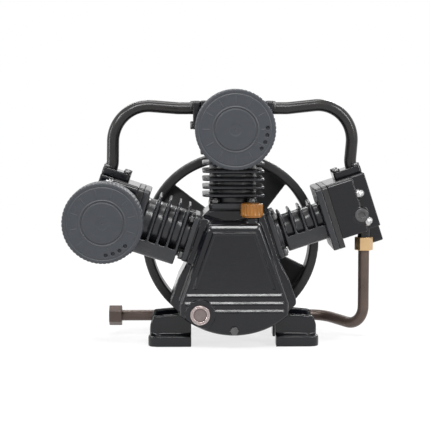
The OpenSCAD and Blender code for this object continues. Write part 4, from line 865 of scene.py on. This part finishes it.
@dataclass
class Crankcase(Assembly):
    """The crankcase with its plug, sight glass, drain and rear cover.

    The nose's heights are above the crank and its widths from its middle. Blends, margins and
    ends are the lengths over which a form rises from 0 to its full height.
    """

    nose_y: float = -0.108
    nose_top: float = 0.058
    nose_top_w: float = 0.05
    nose_half_w: float = 0.104
    wide_drop: float = 0.096
    corner: float = 0.012
    sump_r: float = 0.158
    edge: float = 0.009
    body_front: float = -0.0985
    panel: Panel = Panel()
    ribs: tuple[Rib, ...] = (
        Rib(-0.0808, -0.092, 0.092),
        Rib(-0.096, -0.096, 0.096),
        Rib(-0.1112, -0.038, 0.096),
    )
    rib_rise: float = 0.0029
    rib_below: float = 0.0018
    rib_above: float = 0.0054
    rib_end: float = 0.0025
    blend: float = 0.0022
    boss_r: float = 0.03
    relief_margin: float = 0.004
    slope_low: float = 0.04
    slope_blend: float = 0.009
    slope_w: float = 0.0105
    slope: float = 0.52
    slope_soft: float = 0.0015
    edge_less: float = 0.004
    tip_h: float = 0.014
    wall_y: float = 0.0055
    wall_rings: tuple[Span, ...] = ((0.0015, 0.0), (0.003, 0.0006), (0.004, 0.0016))
    wall_drop: float = 0.05
    cap_at: Point = (0.034, -0.085, 0.011)
    cap_r: float = 0.0215
    cap_h: float = 0.026
    flutes: int = 20
    flute_depth: float = 0.0022
    glass_at: Span = (-0.065, -0.116)
    glass_face: float = -0.1115
    glass_r: float = 0.0118

    def build(self) -> None:
        """Dresses the crankcase's pieces."""
        self.cast("crankcase", BLACK_CASTING, 0.0025, 3, front=self.body_front)
        self.keep(grid_object("nose_front", self._nose(), closed_v=False), BLACK_CASTING)
        self.cast("rear_bearing_cover", BLACK_CASTING, 0.0018, 4)
        cap = grid_object("filler_cap", self._plug())
        self.keep(cap, AMBER_PLASTIC, "filler_plug", body="filler_plug")
        ring = grid_object("sight_ring", self._ring(), closed_u=True)
        self.keep(ring, BRIGHT_RING, "sight_glass_ring")
        self.keep(grid_object("sight_lens", self._lens()), CLEAR_GLASS, "sight_glass_lens")
        self.soften("drain_plug", DARK_STEEL, 0.0006)
        self.soften("rear_cover_gasket", GASKET_SHEET, 0)
        self.soften("rear_cover_bolts", DARK_STEEL, 0.0005)
        self.soften("main_bearings", BRIGHT_STEEL, 0.0006)
        self.soften("oil_seal", SEAL_RUBBER, 0.0005)

    def _half_width(self, h: np.ndarray) -> np.ndarray:
        """Half the nose's width at a height above the crank.

        The top corner is an arc, the flank a straight line down to the widest place, and the
        sump a circle about the crank: w = sqrt(R^2 - h^2).
        """
        lean = math.atan2(self.nose_half_w - self.nose_top_w, self.nose_top + self.wide_drop)
        mid = self.nose_top_w - self.corner / math.tan((math.pi / 2 + lean) / 2)
        centre = self.nose_top - self.corner
        arc = mid + np.sqrt(np.clip(self.corner**2 - (h - centre) ** 2, 0, None))
        start_h = centre + self.corner * math.sin(lean)
        start_w = mid + self.corner * math.cos(lean)
        flank = start_w + (start_h - h) / (start_h + self.wide_drop) * (self.nose_half_w - start_w)
        w = np.where(h > start_h, arc, np.minimum(flank, self.nose_half_w))
        return np.minimum(w, np.sqrt(np.clip(self.sump_r**2 - h**2, 0, None)))

    def _relief(self, x: np.ndarray, h: np.ndarray) -> np.ndarray:
        """Height of the panel, ribs and round boss over the nose's face.

        Each form is the distance inside its outline, eased over a rounding, times its height;
        the face takes the highest of them. A rib is round below and slopes off evenly above.
        """
        p = self.panel
        lean = (p.low_w - p.top_w) / (p.top - p.low)
        side = (p.top_w + (p.top - h) * lean - np.abs(x)) / math.hypot(1, lean)
        upper = np.minimum(p.top - h, side)
        inside = np.minimum(upper, h - p.low)
        sunk = p.sink * eased((upper - p.frame_w) / self.blend)
        relief = eased((inside + p.spread) / p.blend) * (p.rise - sunk)
        for rib in self.ribs:
            below = np.sqrt(np.clip(1 - (np.clip(rib.crest - h, 0, None) / self.rib_below) ** 2, 0, None))
            above = np.clip(1 - np.clip(h - rib.crest, 0, None) / self.rib_above, 0, None)
            ends = eased(np.minimum(x - rib.left, rib.right - x) / self.rib_end)
            relief = np.maximum(relief, self.rib_rise * below * above * ends)
        gx, gh = self.glass_at
        boss = self.boss_r - np.hypot(x - gx, h - gh)
        return np.maximum(relief, (self.nose_y - self.glass_face) * eased(boss / self.blend))

    def _inside(self, x: np.ndarray, h: np.ndarray) -> np.ndarray:
        """Distance from each point of the nose to its outline, taken in strips of rows.

        Args:
            x: Distances from the middle.
            h: Heights above the crank.

        Returns:
            The distances, with the shape of x.
        """
        strip = 12
        line = np.linspace(self.nose_top, -self.sump_r, 500)
        outline = np.concatenate([[[0, self.nose_top]], np.stack([self._half_width(line), line], 1)])
        a, ab = outline[:-1], np.diff(outline, axis=0)
        length = np.maximum((ab**2).sum(1), 1e-14)
        far = np.full(x.shape, 1.0)
        for k in range(0, len(x), strip):
            p = np.stack([np.abs(x[k : k + strip]), h[k : k + strip]], -1)[:, :, None, :]
            share = np.clip(((p - a) * ab).sum(-1) / length, 0, 1)
            near = p - (a + share[..., None] * ab)
            far[k : k + strip] = np.sqrt((near**2).sum(-1)).min(-1)
        return far

    def _nose(self) -> np.ndarray:
        """The nose's front as a height field with a rounded edge, sloped off along the top, and a wall.

        Rows lie level, and columns keep their share of the half width. Within the rounding R of
        the outline the face falls back by R - sqrt(R^2 - (R - d)^2), where d is the distance to
        the outline.
        """
        top, low = self.nose_top - self.corner, self.tip_h - self.sump_r
        h = np.concatenate([
            np.linspace(self.nose_top, top, 34, endpoint=False),
            np.linspace(top, low, 225, endpoint=False),
            -self.sump_r + self.tip_h * np.linspace(1, 0, 40) ** 1.7,
        ])
        t = np.sin(np.linspace(-1, 1, 251) * math.pi / 2)
        x = self._half_width(h)[:, None] * t[None, :]
        h = np.repeat(h[:, None], len(t), 1)
        far = self._inside(x, h)
        high = eased((h - self.slope_low) / self.slope_blend)
        r = self.edge - self.edge_less * high
        fall = r - np.sqrt(np.clip(r**2 - np.clip(r - far, 0, None) ** 2, 0, None))
        rest = self.slope_w - far
        fall = fall + self.slope * high * (rest + np.sqrt(rest**2 + self.slope_soft**2)) / 2
        y = self.nose_y + fall - self._relief(x, h) * eased(far / self.relief_margin)
        return self._walled(np.stack([x, y, h + CRANK_H], -1))

    def _walled(self, face: np.ndarray) -> np.ndarray:
        """Adds rings of columns and rows that lead the face's rim back into the body."""
        middle = np.array([0, 0, CRANK_H - self.wall_drop])
        for back, inset in self.wall_rings:
            rim = np.pad(face, ((1, 1), (1, 1), (0, 0)), mode="edge")
            edge = np.ones(rim.shape[:2], bool)
            edge[1:-1, 1:-1] = False
            away = (rim - middle) * [1, 0, 1]
            away /= np.linalg.norm(away, axis=-1, keepdims=True) + 1e-12
            moved = rim - away * inset
            moved[..., 1] = self.nose_y + self.edge + self.wall_y + back
            face = np.where(edge[..., None], moved, rim)
        return face

    def _plug(self) -> np.ndarray:
        """The amber cap: a turned profile whose side is cut by round flutes."""
        r, h = self.cap_r, self.cap_h
        profile = rounded_profile([
            (0, h - 0.0006, 0), (r * 0.55, h - 0.0006, 0.001), (r * 0.6, h, 0.001), (r - 0.0002, h, 0.003),
            (r, h * 0.55, 0), (r, 0.0045, 0), (r, 0.003, 0.0008), (r - 0.002, 0.003, 0.0008),
            (r - 0.002, 0, 0.0005), (0.0108, 0, 0), (0.0108, -0.018, 0.001), (0, -0.018, 0),
        ], 5)
        z = profile[:, 1]
        side = eased((z - 0.004) / 0.002) * eased((h - 0.001 - z) / 0.003) * (profile[:, 0] > r * 0.9)
        cut, half = -self.flute_depth * side, self.flutes / 2
        grid = revolved(profile, 288, lambda a, k: cut[k] * np.abs(np.cos(half * a)) ** 1.4)
        x, y, up = self.cap_at
        return grid + [x, y, CRANK_H + self.nose_top + up]

    def _about_glass(self, profile: np.ndarray, steps: int = 96) -> np.ndarray:
        """Turns a profile of radius and depth before the boss about the glass's axis."""
        grid = revolved(profile, steps)
        gx, gh = self.glass_at
        return np.stack([gx + grid[..., 0], self.glass_face - grid[..., 2], CRANK_H + gh + grid[..., 1]], -1)

    def _ring(self) -> np.ndarray:
        """The sight glass's ring: a turned lip with a groove and a bevelled mouth."""
        bore, r, top, groove = 0.0122, 0.0195, 0.006, 0.0054
        return self._about_glass(rounded_profile([
            (bore, 0, 0), (r, 0, 0), (r, 0.0035, 0.0006), (r - 0.0012, top, 0.0012), (0.0165, top, 0.0004),
            (0.0162, groove, 0.0002), (0.0155, groove, 0.0002), (0.0152, top, 0.0004),
            (0.0135, top, 0.0008), (bore, 0.0046, 0.0003), (bore, 0, 0),
        ], 4)[:-1])

    def _lens(self) -> np.ndarray:
        """The sight glass: a disc whose face is gently domed, with a sunk circle in its middle."""
        high, crown, circle, circle_r = 0.0049, 0.0007, 0.0004, 0.0055
        r = np.linspace(0, self.glass_r, 24)
        face = high - crown * (r / self.glass_r) ** 2 - circle * eased((circle_r - r) / 0.0012)
        rim = self.glass_r + 0.0003
        profile = np.concatenate([np.stack([r, face], 1), [[rim, 0.0038], [rim, 0.0002], [0, 0.0002]]])
        return self._about_glass(profile)


@dataclass
class Cylinders(Assembly):
    """The finned cylinders, their studs, plates and joints."""

    nut_flats: float = 0.017
    head_top: float = 0.2619
    head_studs: Span = (0.0515, 0.0515)
    right_head_studs: Span = (0.028, 0.054)
    head_nut_h: float = 0.00835
    dome_r: float = 0.0074
    foot_top: float = 0.0922
    foot_studs: Span = (0.03595, 0.0461)
    foot_nut_h: float = 0.0078
    stud_r: float = 0.005
    stud_top: float = 0.0099
    stud_low: float = -0.012

    def build(self) -> None:
        """Dresses the cylinders' pieces."""
        for side in ("left", "centre", "right"):
            self.cast(f"cylinder_{side}", BLACK_FINS, 0.0017, 4)
            self.cast(f"head_{side}", BLACK_CASTING, 0.0015, 9)
        self._nuts()
        self.soften("cylinder_base_gaskets", PAINTED_SHEET, 0)
        self.soften("valve_plates", EDGE_PAINT, 0.0004)
        self.soften("head_gaskets", PAINTED_SHEET, 0)
        self.soften("suction_reeds", BRIGHT_STEEL, 0)
        self.soften("discharge_reeds", BRIGHT_STEEL, 0)
        # The plug's finish paints a highlight on its rim.
        self.soften("head_plug", PLUG_BLACK, 0.0012, 3, clamp=False)

    def _nuts(self) -> None:
        """Stands nuts on the studs of the feet and heads of all three cylinders."""
        dome = hexagonal(self.nut_flats, self.head_nut_h, self.dome_r)
        nut = hexagonal(self.nut_flats, self.foot_nut_h)
        r, top, low = self.stud_r, self.stud_top, self.stud_low
        stud = revolved(rounded_profile([(0, top, 0), (r, top, 0.001), (r, low, 0), (0, low, 0)]), 40)
        foot_x, foot_y = self.foot_studs
        plain, domed = [], []
        for bank in Bank:
            x, y = self.right_head_studs if bank is Bank.RIGHT else self.head_studs
            for sx, sy in ((-1, -1), (-1, 1), (1, -1), (1, 1)):
                at = bank.matrix @ Matrix.Translation((sx * x, sy * y, self.head_top))
                domed.append(grid_object("nut", placed(dome, at)))
                at = bank.matrix @ Matrix.Translation((sx * foot_x, sy * foot_y, self.foot_top))
                plain.append(grid_object("nut", placed(nut, at)))
                plain.append(grid_object("stud", placed(stud, at)))
        self.keep(joined("stud_nuts", plain), DARK_STEEL, "cylinder_nuts")
        self.keep(joined("domed_nuts", domed), BRIGHT_STEEL, "head_nuts")


@dataclass
class Filters(Assembly):
    """The two suction filters."""

    places: tuple[tuple[str, Point, float], ...] = (
        ("left", (-0.2453, -0.192, 0.2521), -48.0),
        ("centre", (0.0, -0.17, 0.423), 0.0),
    )
    radius: float = 0.075
    wall: float = 0.003
    depth: float = 0.044
    inner_y: float = 0.006
    scallops: int = 60
    dent: float = 0.0009
    disc_r: float = 0.0437
    disc_rise: float = 0.0009
    groove: tuple[float, float, float] = (0.0372, 0.0412, 0.0016)
    outer_groove: tuple[float, float, float] = (0.0655, 0.0688, 0.0008)
    button_r: float = 0.012
    button_sink: float = 0.0005
    mark_field: Span = (0.0465, 0.063)
    mark_rise: float = 0.0005
    mark_w: float = 0.006
    hole_angles: tuple[float, ...] = (3.0, -10.0, -23.0, -36.0)
    holes_at: float = 0.0592
    hole_r: float = 0.0038
    hole_depth: float = 0.0049

    def build(self) -> None:
        """Dresses the filters' pieces."""
        for side, at, turn in self.places:
            points = self._cover(math.radians(turn)) + at
            cover = grid_object(f"{side}_cover", points, closed_u=True)
            self.keep(cover, FILTER_PLASTIC, f"filter_cover_{side}")
        self.soften("filter_bases", FILTER_PLASTIC, 0.0008)
        self.soften("filter_elements", FILTER_PAPER, 0)

    def _face(self, r: np.ndarray) -> np.ndarray:
        """How far the face lies back: a raised disc, two grooves and a sunk button in its middle."""
        inner, outer, groove = self.groove
        far_inner, far_outer, far_groove = self.outer_groove
        y = self.disc_rise * (1 - eased((self.disc_r - r) / 0.0016))
        y += groove * band(r, inner, outer, 0.0012)
        y += far_groove * band(r, far_inner, far_outer, 0.001)
        return y + self.button_sink * eased((self.button_r - r) / 0.0016)

    def _cover(self, turn: float) -> np.ndarray:
        """A moulded cover: a turned profile with dents round its rim and marks on its face.

        The dents are -0.9 mm |cos(30 a)|^6 on the side. The face also takes twelve fine marks
        and four deep air holes.

        Args:
            turn: The angle by which the air holes are turned about the axis.

        Returns:
            Points about the filter's axis, with y = 0 on the foremost plane.
        """
        big, wall = self.radius, self.wall
        first, fine = 0.0006, 0.03
        r = np.concatenate([np.linspace(first, fine, 24, endpoint=False), np.linspace(fine, big - wall, 62)])
        arc = np.linspace(0, math.pi / 2, 8)[1:]
        side_y = np.linspace(self.disc_rise + wall + 0.0011, self.depth, 14)
        back_y = np.linspace(self.depth, self.inner_y, 6)
        back_r = np.linspace(big - wall, first, 8)[1:]
        side_r, bore_r = np.full(len(side_y), big), np.full(len(back_y), big - wall)
        rows_r = np.concatenate([r, big - wall + wall * np.sin(arc), side_r, bore_r, back_r])
        rim_y = self.disc_rise + wall * (1 - np.cos(arc))
        rows_y = np.concatenate([self._face(r), rim_y, side_y, back_y, np.full(len(back_r), self.inner_y)])
        a = np.linspace(0, 2 * math.pi, self.scallops * 8, endpoint=False)[None, :]
        rr, yy = (np.repeat(rows[:, None], a.shape[1], 1) for rows in (rows_r, rows_y))
        row = np.arange(len(rows_r))[:, None]
        front, outer = row < len(r), row < len(r) + len(arc) + len(side_y)
        dent = outer * eased((rr - (big - 0.0035)) / 0.0025)
        rr = rr - self.dent * dent * np.abs(np.cos(self.scallops / 2 * a)) ** 6
        marks = np.abs(np.sin(6 * (a - turn))) * rr
        raised = band(rr, *self.mark_field, 0.002) * eased((self.mark_w - marks) / 0.0025)
        yy = yy - front * self.mark_rise * raised
        x, z = rr * np.cos(a), rr * np.sin(a)
        for angle in self.hole_angles:
            c = math.radians(angle) + turn
            gap = np.hypot(x - self.holes_at * math.cos(c), z - self.holes_at * math.sin(c))
            yy = yy + front * self.hole_depth * eased((self.hole_r - gap) / 0.0008)
        return np.stack([x, yy, z], -1)


@dataclass
class Pipes(Assembly):
    """The interstage and discharge pipes with their flanges and unions."""

    inner: float = 0.064
    outer: float = 0.086
    shoulder: float = 0.108
    back: float = 0.012
    out: float = 0.2749
    left_corner: Point = (-0.233, -0.0078, 0.47)
    right_corner: Point = (0.245, 0.0318, 0.474)
    bends: tuple[float, ...] = (0, 0.04, 0.07, 0.04, 0)
    pipe_r: float = 0.012
    bore_r: float = 0.009
    flange_at: Point = (0.078, 0.012, 0.2619)
    bolt_x: float = 0.0202
    bolt_y: float = 0.02155
    bolt_flats: float = 0.013
    bolt_h: float = 0.0053

    def build(self) -> None:
        """Dresses the pipes' pieces."""
        back, out = self.back, self.out
        lower, upper = (self.inner, self.outer), (self.inner, self.shoulder)
        left = [*(Bank.LEFT.point(x, back, out) for x in lower), self.left_corner]
        left += [Bank.CENTRE.point(-x, back, out) for x in reversed(upper)]
        right = [*(Bank.CENTRE.point(x, back, out) for x in upper), self.right_corner]
        right += [Bank.RIGHT.point(-x, back, out) for x in reversed(lower)]
        for side, route in (("left", left), ("right", right)):
            points = tube(filleted_path(route, self.bends), self.pipe_r, self.bore_r)
            pipe = grid_object(f"{side}_pipe", points, closed_u=True)
            self.keep(pipe, PIPE_BLACK, f"interstage_pipe_{side}")
        self.soften("discharge_pipe", PIPE_BRONZE, 0)
        self.cast("pipe_flanges", BLACK_CASTING, 0.0011, 4)
        self._flange_bolts()
        self.cast("discharge_elbow", BLACK_CASTING, 0.001, 4)
        self.soften("discharge_nut", BRASS, 0.0012, 3, clamp=False)
        self.soften("outlet_nut", PIPE_BRONZE, 0.0012, 3, clamp=False)

    def _flange_bolts(self) -> None:
        """Stands a chamfered bolt head at each corner of the four pipe flanges."""
        head = hexagonal(self.bolt_flats, self.bolt_h)
        across, along, out = self.flange_at
        heads = []
        for bank, side in ((Bank.LEFT, 1), (Bank.CENTRE, -1), (Bank.CENTRE, 1), (Bank.RIGHT, -1)):
            base = bank.matrix @ Matrix.Translation((side * across, along, out))
            base = base @ Matrix.Rotation(side * math.pi / 2, 4, "Y")
            for sx, sy in ((-1, -1), (-1, 1), (1, -1), (1, 1)):
                at = base @ Matrix.Translation((sx * self.bolt_x, sy * self.bolt_y, 0))
                heads.append(grid_object("bolt", placed(head, at)))
        self.keep(joined("flange_bolt_heads", heads), DARK_STEEL, "flange_bolts")


@dataclass
class CrankTrain(Assembly):
    """The crankshaft, flywheel, rods and pistons."""

    def build(self) -> None:
        """Dresses the moving pieces."""
        self.soften("crankshaft", CAST_IRON, 0.0008, body="crank")
        self.cast("flywheel", WHEEL_BLACK, 0.0021, 4, body="crank")
        self.soften("flywheel_key", DARK_STEEL, 0, body="crank")
        self.soften("flywheel_washer", DARK_STEEL, 0.0006, body="crank")
        self.soften("flywheel_bolt", DARK_STEEL, 0.0006, body="crank")
        for side in ("left", "centre", "right"):
            self.soften(f"piston_{side}", LIGHT_ALLOY, 0.0005, body=f"piston_{side}")
            self.soften(f"piston_rings_{side}", DARK_STEEL, 0, body=f"piston_{side}")
            self.soften(f"gudgeon_pin_{side}", BRIGHT_STEEL, 0.0005, body=f"piston_{side}")
            self.soften(f"connecting_rod_{side}", LIGHT_ALLOY, 0.0006, body=f"rod_{side}")
            self.soften(f"rod_cap_{side}", LIGHT_ALLOY, 0.0005, body=f"rod_{side}")
            self.soften(f"crank_pin_{side}", BRIGHT_STEEL, 0, body=f"rod_{side}")


def main() -> None:
    """Builds the studio and each sub-assembly in order."""
    logging.basicConfig(level=logging.INFO, format="%(message)s")
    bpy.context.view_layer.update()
    Studio().build()
    for part in (Crankcase(), Cylinders(), Filters(), Pipes(), CrankTrain()):
        part.build()


if __name__ == "__main__":
    main()
